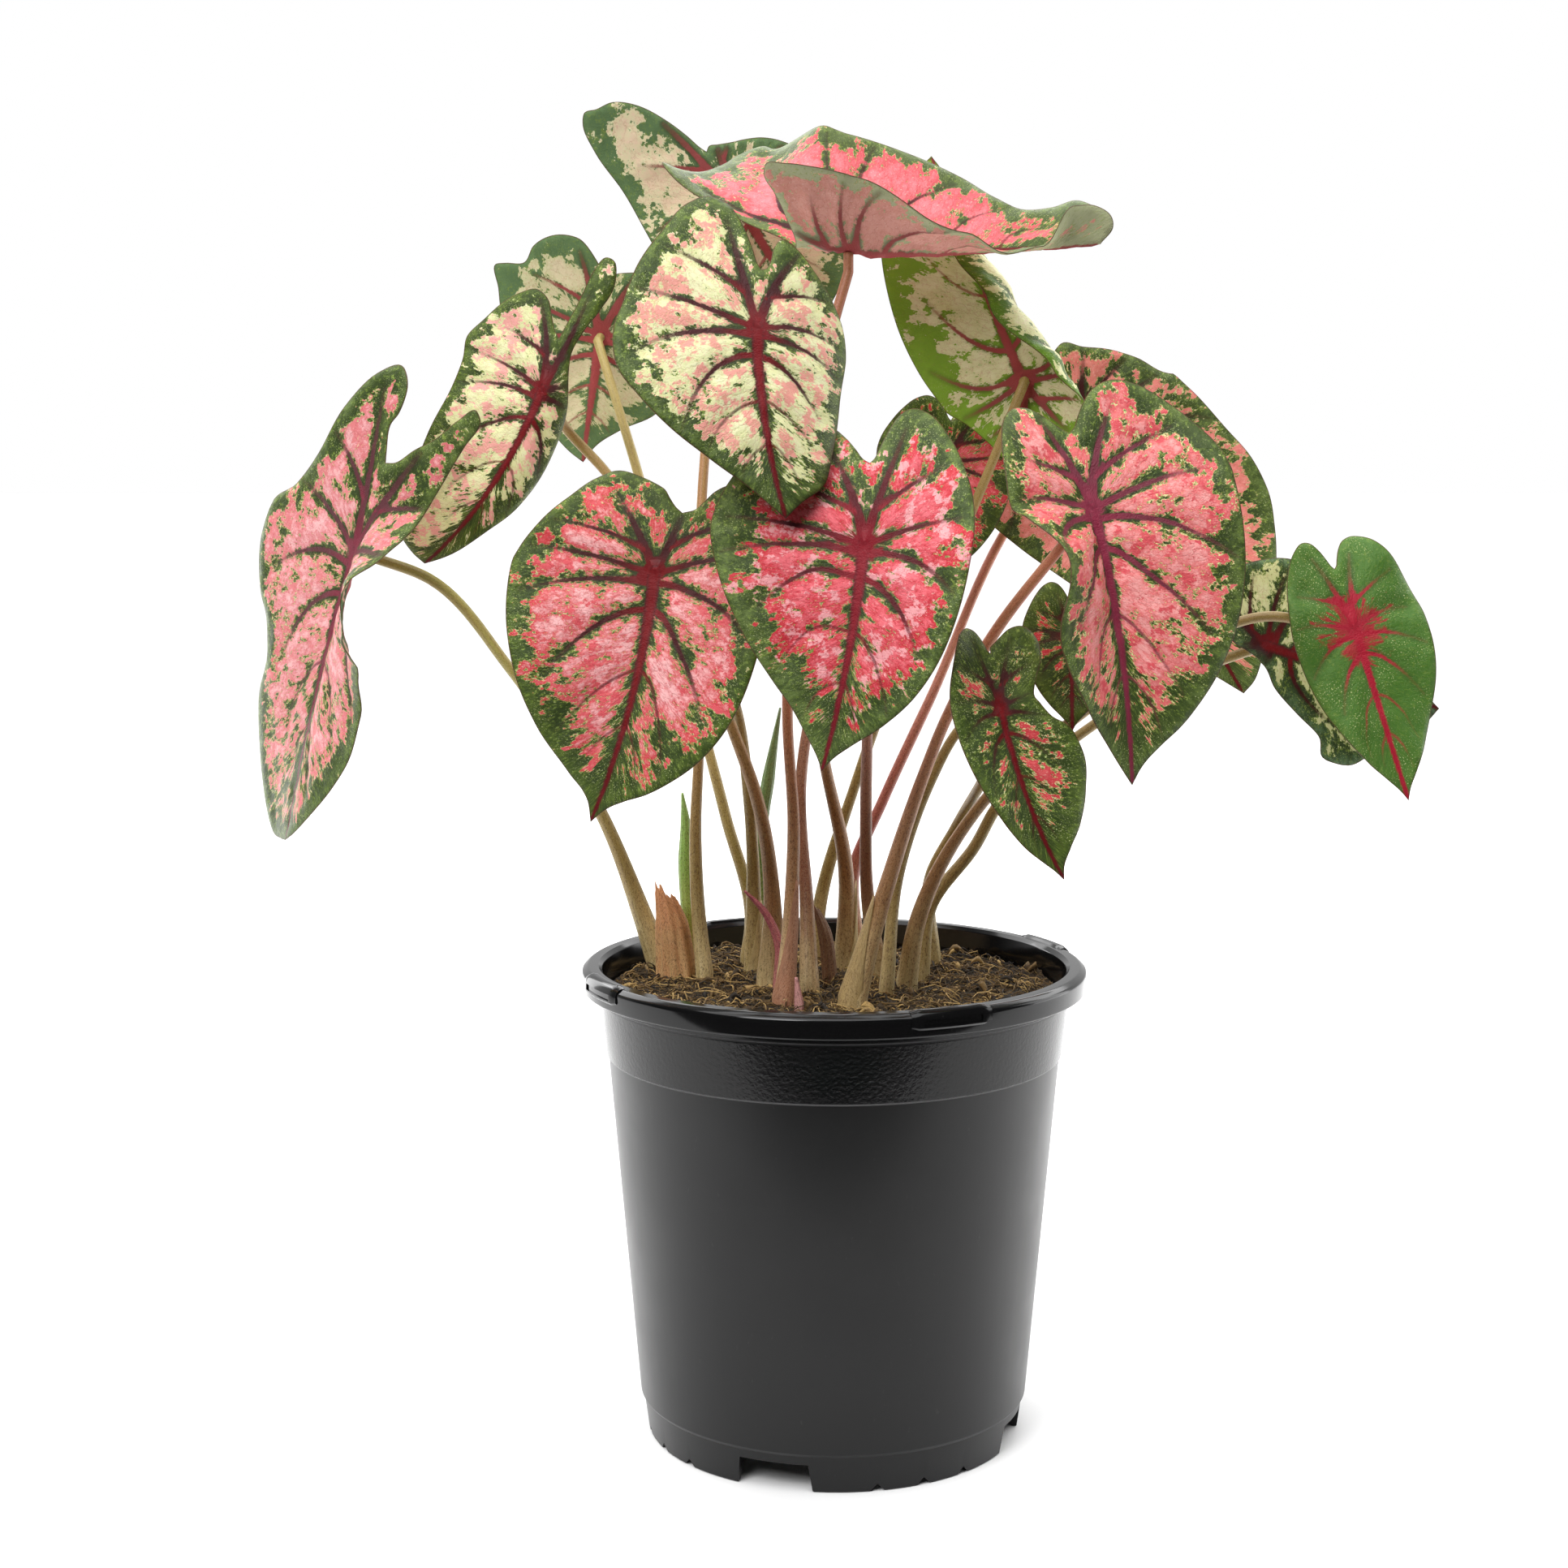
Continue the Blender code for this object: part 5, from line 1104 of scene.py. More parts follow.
def blade_material(name, look, back):
    """Leaf skin: the patterned face, or its paler and duller copy for the underside."""
    material, wire, shader = new_material(name)
    pale = BACK_PALENESS if back else 0.0
    fewer = {"mottle": 0.6, "specks": 0.4} if back else {}
    tints = {"green": (1.8, look["under"]), "dark": (1.6, look["under"]), "vein": (1.7, BACK_VEIN),
             "midrib": (1.7, BACK_MIDRIB)}
    values = {label: wire.attribute(stored, "Vector") for label, stored in BLADE_PLACES.items()}
    for label in BLADE_MEASURES:
        values[label] = wire.attribute(attribute_name(label))
    for label, key in LOOK_VALUES.items():
        values[label] = look[key] * fewer.get(key, 1.0)
    for label, key in LOOK_COLOURS.items():
        strength, tint = tints.get(key, (1.0, PALE_SKIN))
        values[label] = colour4(paler(look[key], strength * pale, tint))
    pattern = wire.node("ShaderNodeGroup", node_tree=shared_group("leaf_pattern", leaf_pattern_group))
    for key, value in values.items():
        wire.feed(pattern.inputs[key], value)
    wire.feed(shader["Base Color"], pattern.outputs["Color"])
    smooth, dull = (0.55, 0.75) if back else (0.34, 0.48)
    wire.feed(shader["Roughness"], wire.step(pattern.outputs["Height"], 0.3, 1.2, smooth, dull))
    wire.bump(shader, pattern.outputs["Height"], 0.7, 0.0004)
    shader["Specular IOR Level"].default_value = 0.16 if back else 0.24
    return material


def stem_skin_group():
    """Stem colours that change from foot to top, with fine dark specks and faint streaks."""
    inputs = [("Place", "NodeSocketVector", None), ("Height", "NodeSocketFloat", 0.0)]
    inputs += [(label, "NodeSocketColor", colour4(colour))
               for label, colour in (("Foot", FOOT_TAN), ("Low", BROWN), ("High", ROSE))]
    outputs = [("Color", "NodeSocketColor"), ("Bump", "NodeSocketFloat")]
    group, wire, given, result = new_group("stem_skin", inputs, outputs)
    step, mix, times = wire.step, wire.mix, wire.times
    place, height = given["Place"], given["Height"]
    streaks = wire.noise(wire.stretched(place, (1.6, 1.6, 0.05)), 1.0, 3.0, 0.6)
    bands = wire.noise(wire.stretched(place, (0.7, 0.7, 0.03)), 1.0, 2.0, 0.5)
    specks = wire.noise(wire.stretched(place, (1.0, 1.0, 0.45)), 2.1, 3.0, 0.7)
    grain = wire.noise(wire.stretched(place, (1.0, 1.0, 0.6)), 4.5, 3.0, 0.7)
    patches = wire.noise(place, 0.12, 2.0, 0.5)
    colour = mix(step(height, 25.0, 120.0), given["Low"], given["High"])
    foot = step(wire.plus(height, times(patches, 24.0)), 8.0, 52.0, 1.0, 0.0)
    colour = mix(times(foot, 0.9), colour, given["Foot"])
    colour = mix(step(bands, 0.42, 0.62, 0.0, 0.4), colour, given["Low"])
    colour = mix(step(streaks, 0.35, 0.7, 0.0, 0.30), colour, STREAK_SHADE, "MULTIPLY")
    colour = mix(step(grain, 0.42, 0.62, 0.2, 0.0), colour, GRAIN_CREAM)
    dark = wire.math("MAXIMUM", step(specks, 0.54, 0.62, 0.0, 0.6), step(grain, 0.56, 0.64, 0.0, 0.6))
    colour = mix(times(dark, step(height, 50.0, 150.0, 1.0, 0.35)), colour, SPECK_BROWN)
    wire.feed(result["Color"], colour)
    wire.feed(result["Bump"], wire.plus(streaks, times(specks, 0.3)))
    return group


def stem_material(name, foot, low, high, roughness=0.46):
    """Stem skin with its colours at the foot, low down and towards the top."""
    material, wire, shader = new_material(name)
    skin = wire.node("ShaderNodeGroup", node_tree=shared_group("stem_skin", stem_skin_group))
    wire.feed(skin.inputs["Place"], wire.attribute("around_place", "Vector"))
    wire.feed(skin.inputs["Height"], wire.attribute("stem_height"))
    for key, value in (("Foot", foot), ("Low", low), ("High", high)):
        wire.feed(skin.inputs[key], colour4(value))
    wire.feed(shader["Base Color"], skin.outputs["Color"])
    shader["Roughness"].default_value = roughness
    wire.bump(shader, skin.outputs["Bump"], 0.35, 0.0004)
    return material


def tube_mesh(name, route, radii, sides, seed, section=None, ends=None):
    """A closed tube along a route in mm, with its surface places stored for the material.

    Ends gives the share of the route that each side reaches, for a torn or pointed top.
    """
    route = np.array(route, float)
    radii = np.array(radii, float)
    directions = np.gradient(route, axis=0)
    directions /= np.linalg.norm(directions, axis=1)[:, None]
    side = np.cross(directions[0], (0.0, 1.0, 0.0))
    side /= np.linalg.norm(side)
    turns = full_turn(sides)
    shape = np.ones((len(route), sides)) if section is None else section(turns, np.linspace(0, 1, len(route)))
    rings = []
    for k, direction in enumerate(directions):
        side = side - direction * np.dot(side, direction)
        side /= np.linalg.norm(side)
        other = np.cross(direction, side)
        spread = (radii[k] * shape[k])[:, None]
        rings.append(route[k] + spread * (np.cos(turns)[:, None] * side + np.sin(turns)[:, None] * other))
    top_point = route[-1:]
    if ends is not None:
        full = np.array(rings)
        steps = np.arange(len(route))
        for j, axis in np.ndindex(sides, 3):
            full[:, j, axis] = np.interp(steps * ends[j], steps, full[:, j, axis])
        rings = list(full)
        top_point = route[[int(0.8 * min(ends) * (len(route) - 1))]]
    points = np.concatenate([*rings, route[:1], top_point])
    top = (len(route) - 1) * sides
    faces = [face for low in range(0, top, sides) for face in ring_faces(low, low + sides, sides)]
    for j in range(sides):
        n = (j + 1) % sides
        faces += [(n, j, len(points) - 2), (top + j, top + n, len(points) - 1)]
    mesh = solid_mesh(name, points, faces)
    lengths = lengths_along(route)
    along = np.concatenate([np.repeat(lengths, sides), [0], lengths[-1:]])
    around = np.concatenate([np.tile(turns, len(route)), [0, 0]])
    wide = np.concatenate([np.repeat(radii, sides), radii[:1], radii[-1:]])
    place = np.column_stack([np.cos(around) * wide + seed * TUBE_SPACING, np.sin(around) * wide, along])
    add_point_values(mesh, "around_place", place)
    add_point_values(mesh, "stem_height", points[:, 2] - SOIL_TOP)
    return mesh


def petiole_route(leaf):
    """Points up the petiole, from its foot in the soil to just short of the blade."""
    out = blade_axes(leaf)[2]
    top = np.array(leaf["at"], float)
    turns = full_turn(SEAT_POINTS)
    around = np.column_stack([np.cos(turns), np.sin(turns)]) * PETIOLE_SEAT_RADIUS
    lowest = min(0.0, float(np.min((blade_points(leaf, around) - top) @ out)))
    reach = CAD_HALF_BLADE + GAP - lowest
    foot = leaf["foot"]
    posts = [(*foot, STEM_STRAIGHT_TOP), *leaf["stem"], tuple(top - out * PETIOLE_NECK)]
    bend = smooth_curve(posts, STEM_DETAIL)
    tip = top - out * (reach - TIP_OVERLAP)
    neck = [bend[-1] + (tip - bend[-1]) * u for u in (0.35, 0.7, 1.0)]
    return np.concatenate([[(*foot, STEM_FOOT), (*foot, STEM_FOOT + 6)], bend, neck])


def petiole_radii(leaf, height):
    """Radius in mm at each height above the soil: it flares towards the foot."""
    return PETIOLE_TOP_RADIUS + (leaf["flare"] - PETIOLE_TOP_RADIUS) * np.exp(-height / PETIOLE_FLARE)


def make_petiole(name, leaf, index):
    """A petiole, a little grooved and uneven."""
    route = petiole_route(leaf)
    height = np.maximum(route[:, 2] - STEM_STRAIGHT_TOP, 0)
    radii = petiole_radii(leaf, height) * (1 + 0.03 * np.sin(0.11 * height + index))

    def grooved(turns, shares):
        depth = 0.10 * np.exp(-4 * shares)[:, None]
        return 1 + depth * np.cos(2 * turns + index)[None] - 0.02 * np.cos(7 * turns)[None]

    mesh = tube_mesh("stem_" + name, route, radii, PETIOLE_SIDES, index + 1, grooved)
    mesh.materials.append(stem_material("stem_" + name, FOOT_TAN, *STEM_COLOURS[name]))
    return place_piece("stem_" + name, mesh, ["petiole_" + name])


def make_wrap(name, look, index):
    """An old leaf foot wrapped round a petiole, with its torn tip on one side."""
    azimuth, height, foot, tip = look
    leaf = LEAVES[name]
    route = petiole_route(leaf)
    route = route[route[:, 2] < SOIL_TOP + height]
    above = np.maximum(route[:, 2] - STEM_STRAIGHT_TOP, 0)
    radii = petiole_radii(leaf, above) + WRAP_THICKNESS + WRAP_OPENING * (above / height) ** 2
    away = np.abs((full_turn(WRAP_SIDES) - azimuth + math.pi) % (2 * math.pi) - math.pi)
    ends = WRAP_LOWEST + (1 - WRAP_LOWEST) * np.exp(-np.abs(away / WRAP_WIDTH) ** 1.7)
    ends *= 1 - 0.04 * np.random.default_rng(WRAP_SEED + index).random(WRAP_SIDES)
    mesh = tube_mesh("wrap_" + name, route, radii, WRAP_SIDES, WRAP_SEED + index, None, ends)
    mesh.materials.append(stem_material("wrap_" + name, foot, foot, tip, 0.6))
    return place_piece("wrap_" + name, mesh, [])


def make_shoot(name, shoot, index):
    """A rolled young leaf or a pleated sheath; the dry brown sheaths are torn at their tops."""
    foot = shoot["foot"]
    wider = DRY_SHEATH_WIDENING if name == "dry_sheath" else 1.0
    first, *rest = (wider * radius for radius in shoot["radii"])
    points = [(*foot, STEM_STRAIGHT_TOP), *shoot["path"]]
    bend = smooth_curve(points, SHOOT_DETAIL)
    places = np.linspace(0, len(points) - 1, len(bend))
    radii = np.interp(places, np.arange(len(points)), [first, *rest])
    route = np.concatenate([[(*foot, STEM_FOOT)], bend])
    deep = 0.16 if "sheath" in name else 0.07

    def pleated(turns, shares):
        return 1 + deep * (np.cos(3 * turns + 2 * shares[:, None]) * 0.6
                           + np.cos(9 * turns - 3 * shares[:, None]) * 0.4) - deep

    ends = None
    if name in TORN_SHEATHS:
        turns = full_turn(SHOOT_SIDES)
        nicks = np.random.default_rng(SHOOT_SEED + index).random(SHOOT_SIDES) ** 3
        ends = 0.86 + 0.10 * np.cos(turns - 0.5) + 0.04 * np.sin(5 * turns) - 0.10 * nicks
    mesh = tube_mesh(name, route, [first, *radii], SHOOT_SIDES, SHOOT_PLACE_SEED + index, pleated, ends)
    mesh.materials.append(stem_material(name, *SHOOT_LOOKS[name]))
    return place_piece("shoot_" + name, mesh, [name])


def wall_radius(z):
    """Outer radius of the pot's tapered wall."""
    share = (z - FOOT_TOP) / (BAND_BOTTOM - FOOT_TOP)
    return WAIST_RADIUS + (SHOULDER_RADIUS - WAIST_RADIUS) * share


def rounded(points, radii, steps=5):
    """A profile whose corners are rounded, with a radius for each point, 0 where it stays sharp."""
    points = [np.array(p, float) for p in points]
    out = []
    for k, (point, radius) in enumerate(zip(points, radii)):
        if radius == 0 or k in (0, len(points) - 1):
            out.append(point)
            continue
        before = points[k - 1] - point
        after = points[k + 1] - point
        before /= np.linalg.norm(before)
        after /= np.linalg.norm(after)
        half = 0.5 * math.acos(max(-1.0, min(1.0, float(before @ after))))
        reach = radius / math.tan(half)
        start, end = point + before * reach, point + after * reach
        out += [curve_between(start, point, end, u) for u in np.linspace(0, 1, steps)]
    return out


def turned_piece(name, profile, sides):
    """Spin a profile of (radius, height) in mm round the Z axis."""
    mesh = bpy.data.meshes.new(name)
    points = [(r * MM, 0.0, z * MM) for r, z in profile]
    mesh.from_pydata(points, [(k, k + 1) for k in range(len(points) - 1)], [])
    item = linked(name, mesh)
    spin = item.modifiers.new("turn", "SCREW")
    spin.steps = sides
    spin.render_steps = sides
    spin.use_merge_vertices = True
    spin.merge_threshold = 0.001 * MM
    return item


def pot_profile():
    """The pot's rounded outline, down the outside from the rim, under the floor and up the inside."""
    band_top = wall_radius(LIP_BOTTOM) + 0.9
    foot_inner = FOOT_RADIUS - 2.0
    corners = [((OPENING_RADIUS + 1.2, RIM_TOP), 0), ((80.4, RIM_TOP), 1.6), ((RIM_RADIUS, 154.6), 1.6),
               ((82.2, LIP_BOTTOM), 0.9), ((80.6, LIP_BOTTOM - 0.3), 0.2),
               ((band_top + 0.9, LIP_BOTTOM - 0.3), 0.3), ((band_top + 0.7, LIP_BOTTOM - 2.2), 0.3),
               ((band_top, LIP_BOTTOM - 2.6), 0.2),
               ((wall_radius(BAND_BOTTOM) + 0.7, BAND_BOTTOM + 0.3), 0.35),
               ((wall_radius(BAND_BOTTOM), BAND_BOTTOM - 0.2), 0.3), ((WAIST_RADIUS, FOOT_TOP + 1.2), 1.0),
               ((FOOT_RADIUS + 1.6, FOOT_TOP), 0.4), ((FOOT_RADIUS, 0.0), 0.5), ((foot_inner, 0.0), 0.2),
               ((foot_inner, FOOT_TOP), 0.3), ((0.0, FOOT_TOP), 0), ((0.0, FLOOR_TOP), 0),
               ((wall_radius(FLOOR_TOP) - WALL, FLOOR_TOP), 0.5),
               ((wall_radius(LIP_BOTTOM) - WALL + 0.6, LIP_BOTTOM), 3),
               ((OPENING_RADIUS, RIM_TOP - 1.2), 0.8), ((OPENING_RADIUS + 1.2, RIM_TOP), 0)]
    return rounded(*zip(*corners))


def turned_place(x, y, azimuth):
    """A point of the front turned about the pot's axis, azimuth counted from the front."""
    turn = math.radians(azimuth)
    return x * math.cos(turn) - y * math.sin(turn), x * math.sin(turn) + y * math.cos(turn)


def tool_solid(make, azimuth):
    """A tool solid for the pot, shaped in mm by the given function and turned to the azimuth."""
    mesh = bpy.data.meshes.new(make.__name__)
    cage = bmesh.new()
    make(cage, azimuth)
    bmesh.ops.scale(cage, verts=cage.verts, vec=(MM, MM, MM))
    bmesh.ops.recalc_face_normals(cage, faces=cage.faces)
    cage.to_mesh(mesh)
    cage.free()
    return linked(make.__name__, mesh)


def drain_notch(cage, azimuth):
    """The wide drain notch, a little narrower at its top."""
    bmesh.ops.create_cube(cage, size=1.0)
    for vertex in cage.verts:
        narrow = DRAIN_TOP_SHARE if vertex.co.z > 0 else 1.0
        across = vertex.co.x * DRAIN_WIDTH * narrow
        x, y = turned_place(across, vertex.co.y * DRAIN_DEPTH - FOOT_RADIUS, azimuth)
        vertex.co = (x, y, (vertex.co.z + 0.5) * (DRAIN_HEIGHT + DRAIN_BELOW) - DRAIN_BELOW)


def foot_notch(cage, azimuth):
    """A small V-shaped notch in the foot's edge, made by a cube that stands on its edge."""
    bmesh.ops.create_cube(cage, size=NOTCH_SIZE)
    for vertex in cage.verts:
        a, b = vertex.co.x, vertex.co.z
        x, y = turned_place((a - b) * SLANT, vertex.co.y * 3 - FOOT_RADIUS, azimuth)
        vertex.co = (x, y, (a + b) * SLANT)


def floor_hole(cage, azimuth):
    """A round drain hole through the pot's floor."""
    bmesh.ops.create_cone(cage, cap_ends=True, segments=32, radius1=FLOOR_HOLE_RADIUS,
                          radius2=FLOOR_HOLE_RADIUS, depth=FLOOR_HOLE_LENGTH)
    x, y = turned_place(0, -FLOOR_HOLE_CIRCLE, azimuth)
    bmesh.ops.translate(cage, verts=cage.verts, vec=(x, y, FLOOR_HOLE_MIDDLE))


def rim_tab(cage, azimuth):
    """A low raised pad on the rim, which thins out at its ends."""
    section = [(78.4, 152.0), (RIM_RADIUS + 0.1, 150.8), (RIM_RADIUS + 0.75, 151.5),
               (RIM_RADIUS + 0.7, 154.0), (82.6, 155.6), (81.4, 156.6), (80.6, 156.9), (79.2, 156.7),
               (78.4, 155.6)]
    middle_radius, middle_height = TAB_MIDDLE
    rings = []
    for k in range(TAB_STEPS + 1):
        u = k / TAB_STEPS
        ends = smooth_share(min(u, 1 - u) / 0.10)
        turn = math.radians(azimuth - 90 + TAB_ARC * (u - 0.5))
        ring = []
        for r, z in section:
            r = middle_radius + (r - middle_radius) * (0.86 + 0.14 * ends)
            z = middle_height + (z - middle_height) * (0.80 + 0.20 * ends)
            ring.append(cage.verts.new((r * math.cos(turn), r * math.sin(turn), z)))
        rings.append(ring)
    for before, after in zip(rings[:-1], rings[1:]):
        for k in range(len(section)):
            n = (k + 1) % len(section)
            cage.faces.new((before[k], after[k], after[n], before[n]))
    cage.faces.new(rings[0])
    cage.faces.new(rings[-1][::-1])


def rim_bed(cage, azimuth):
    """The shallow bed in a pad's outer side."""
    bmesh.ops.create_cube(cage, size=1.0)
    bmesh.ops.subdivide_edges(cage, edges=cage.edges, cuts=8, use_grid_fill=True)
    for vertex in cage.verts:
        turn = math.radians(azimuth - 90 + BED_SHARE * TAB_ARC * vertex.co.x)
        r = RIM_RADIUS + BED_OFFSET + vertex.co.y * BED_DEPTH
        vertex.co = (r * math.cos(turn), r * math.sin(turn), BED_MIDDLE + vertex.co.z * BED_HEIGHT)


def apply_tools(item, tools):
    """Cut and join the tools into the piece, then remove them and the piece itself, and keep its mesh."""
    for tool, operation in tools:
        step = item.modifiers.new(tool.name, "BOOLEAN")
        step.operation = operation
        step.solver = "EXACT"
        step.object = tool
    bpy.context.view_layer.update()
    shape = item.evaluated_get(bpy.context.evaluated_depsgraph_get())
    mesh = bpy.data.meshes.new_from_object(shape)
    name = item.name
    for used in (*(tool for tool, _ in tools), item):
        bpy.data.objects.remove(used, do_unlink=True)
    mesh.name = name
    return mesh


def pot_material(settings):
    """Black moulded plastic: glossy rim, orange-peel band down to a painted highlight line on the ledge, and a
    satin wall.
    """
    material, wire, shader = new_material("pot_plastic")
    place = wire.object_place()
    height = wire.node("ShaderNodeSeparateXYZ", {0: place}).outputs[2]
    peel = wire.noise(place, 800.0, 2.0, 0.5)
    clouds = wire.noise(place, 28.0, 3.0, 0.6)
    scuffs = wire.noise(wire.stretched(place, (1.0, 1.0, 0.35)), 520.0, 3.0, 0.75)
    ledge_height, band_top, rim_start = (z * MM for z in (BAND_BOTTOM, BAND_TOP, RIM_START))
    in_band = wire.times(wire.step(height, ledge_height, ledge_height + 0.0004),
                         wire.step(height, band_top, band_top + 0.0005, 1.0, 0.0))
    on_rim = wire.step(height, rim_start, rim_start + 0.001)
    # Painted highlight: a thin pale line of light painted along the ledge
    painted_ledge_highlight = wire.step(wire.math("ABSOLUTE", wire.minus(height, ledge_height)), 0.0002, 0.0005, 1.0, 0.0)
    marks = wire.step(scuffs, 0.66, 0.74)
    colour = wire.mix(wire.times(marks, 0.2), tuple(settings.colour), SCUFF_GREY)
    wire.feed(shader["Base Color"], wire.mix(wire.times(painted_ledge_highlight, 0.6), colour, LEDGE_HIGHLIGHT_GREY))
    rough = wire.minus(wire.step(clouds, 0.3, 0.7, 0.30, 0.36), wire.times(on_rim, 0.20))
    wire.feed(shader["Roughness"], wire.minus(rough, wire.times(in_band, 0.12)))
    relief = wire.times(wire.times(peel, in_band), settings.band_bump)
    wire.bump(shader, wire.plus(relief, wire.times(scuffs, 0.006)), 1.0, 0.001)
    shader["Specular IOR Level"].default_value = 0.33
    return material


def soil_height(x, y):
    """The soil's gentle relief in mm above its mean level."""
    return SOIL_RELIEF * (0.6 * math.sin(0.13 * x + 0.9) * math.cos(0.11 * y - 0.4)
                          + 0.4 * math.sin(0.29 * x - 0.21 * y))


def crumbs(x, y):
    """The soil's clods and crumbs in mm."""
    clods = noise.noise((0.11 * x, 0.11 * y, 3.1))
    lumps = noise.noise((0.35 * x, 0.35 * y, 9.7))
    grains = noise.noise((0.95 * x, 0.95 * y, 5.3))
    return 1.3 * clods + 1.2 * (0.35 - abs(lumps)) + 0.55 * grains


def soil_surface(x, y):
    """Height of the soil's top in mm, with its relief, clods and crumbs."""
    return SOIL_TOP + soil_height(x, y) + crumbs(x, y)


def soil_material(settings):
    """Dark peat with straw threads, pale grains and near-black specks."""
    material, wire, shader = new_material("soil")
    place = wire.object_place()
    broad = wire.noise(place, 90.0, 4.0, 0.6)
    threads = wire.noise(wire.stretched(place, (1.0, 0.35, 1.0)), 700.0, 4.0, 0.7, 1.5)
    grains = wire.noise(place, 1500.0, 3.0, 0.7)
    dark, pale = (tuple(c * factor for c in settings.colour) for factor in (0.45, 1.5))
    colour = wire.mix(wire.step(broad, 0.35, 0.65), dark, pale)
    for share, tint in ((wire.step(threads, 0.54, 0.64, 0.0, 0.7), SOIL_STRAW),
                        (wire.step(grains, 0.60, 0.70, 0.0, 0.6), SOIL_GRAIN),
                        (wire.step(grains, 0.30, 0.44, 0.85, 0.0), SOIL_BLACK_SPECK)):
        colour = wire.mix(share, colour, tint)
    wire.feed(shader["Base Color"], colour)
    shader["Roughness"].default_value = 0.92
    wire.bump(shader, wire.plus(threads, grains), 0.9, 0.0009)
    return material


def make_soil(settings):
    """The filled soil: a crumbly top over a plain tapered body."""
    side = wall_radius(SOIL_TOP) - WALL - GAP
    bottom = wall_radius(FLOOR_TOP) - WALL - GAP
    rings = int(side / SOIL_GRID)
    levels = [(side * k / rings, k % 2, None) for k in range(1, rings + 1)]
    levels += [(side - 0.6, rings % 2, SOIL_TOP - 5), (bottom, rings % 2, FLOOR_TOP + GAP)]
    points = [(0.0, 0.0, soil_surface(0, 0))]
    for radius, odd, z in levels:
        for j in range(SOIL_SIDES):
            turn = 2 * math.pi * (j + 0.5 * odd) / SOIL_SIDES
            x, y = radius * math.cos(turn), radius * math.sin(turn)
            points.append((x, y, soil_surface(x, y) if z is None else z))
    faces = [(0, 1 + j, 1 + (j + 1) % SOIL_SIDES) for j in range(SOIL_SIDES)]
    last = 1 + (rings + 1) * SOIL_SIDES
    for low in range(1, last, SOIL_SIDES):
        faces += ring_faces(low, low + SOIL_SIDES, SOIL_SIDES, inward=True)
    faces.append(tuple(last + j for j in range(SOIL_SIDES))[::-1])
    mesh = solid_mesh("soil_top", points, faces)
    mesh.materials.append(soil_material(settings))
    return place_piece("soil_top", mesh, ["soil"])


def fibre_material():
    """Coir whose shade runs from dark brown to straw."""
    material, wire, shader = new_material("coir")
    place = wire.object_place()
    shade = wire.attribute("fibre_shade")
    colour = wire.mix(wire.step(shade, 0.0, 0.5), COIR_DARK, COIR_BROWN)
    colour = wire.mix(wire.step(shade, 0.5, 1.0), colour, COIR_STRAW)
    stains = wire.step(wire.noise(place, 900.0, 2.0, 0.6), 0.4, 0.7, 0.0, 0.5)
    wire.feed(shader["Base Color"], wire.mix(stains, colour, COIR_STAIN, "MULTIPLY"))
    shader["Roughness"].default_value = 0.8
    return material


def make_fibres(settings):
    """Short bent coir fibres and a few chips lying on the soil, as thin three-sided strands."""
    rng = np.random.default_rng(settings.seed)
    side = wall_radius(SOIL_TOP) - WALL - 2.0
    points, faces, shades = [], [], []
    for _ in range(settings.fibres):
        radius = side * math.sqrt(rng.random())
        turn = rng.random() * 2 * math.pi
        x, y = radius * math.cos(turn), radius * math.sin(turn)
        heading = rng.random() * 2 * math.pi
        chip = rng.random() < CHIP_SHARE
        long_one = rng.random() < LONG_FIBRE_SHARE
        length, wide = (rng.uniform(*limits) for limits in (LONG_FIBRE if long_one else SHORT_FIBRE))
        bend = rng.normal(0, FIBRE_BEND)
        if chip:
            length, wide = (rng.uniform(*limits) for limits in CHIP)
            bend = CHIP_BEND
        arch = rng.uniform(0.0, 2.2)
        shade = rng.random() ** (0.7 if long_one else 1.4)
        start = len(points)
        for k in range(FIBRE_STEPS + 1):
            u = k / FIBRE_STEPS
            reach = math.hypot(x, y)
            if reach > side:
                x, y = x * side / reach, y * side / reach
            z = soil_surface(x, y) + 0.1 + arch * math.sin(math.pi * u)
            thin = wide * (0.35 + 0.65 * math.sin(math.pi * min(max(u, 0.06), 0.94)))
            aside, ahead = -math.sin(heading) * thin, math.cos(heading) * thin
            points += [(x + aside, y + ahead, z), (x - aside, y - ahead, z), (x, y, z + 1.3 * thin)]
            x += math.cos(heading) * length / FIBRE_STEPS
            y += math.sin(heading) * length / FIBRE_STEPS
            heading += bend
        end = start + 3 * FIBRE_STEPS
        for low in range(start, end, 3):
            faces += ring_faces(low, low + 3, 3, inward=True)
        faces += [(start, start + 1, start + 2), (end + 2, end + 1, end)]
        shades += [shade] * (len(points) - start)
    mesh = solid_mesh("soil_fibres", points, faces)
    add_point_values(mesh, "fibre_shade", shades)
    mesh.materials.append(fibre_material())
    return place_piece("soil_fibres", mesh, [])


def tuber_material():
    """Rough brown cork."""
    material, wire, shader = new_material("tuber_skin")
    cork = wire.noise(wire.object_place(), 260.0, 4.0, 0.65)
    colour = wire.mix(wire.step(cork, 0.4, 0.62), (0.07, 0.035, 0.018), (0.20, 0.12, 0.06))
    wire.feed(shader["Base Color"], colour)
    shader["Roughness"].default_value = 0.85
    wire.bump(shader, cork, 0.6, 0.001)
    return material


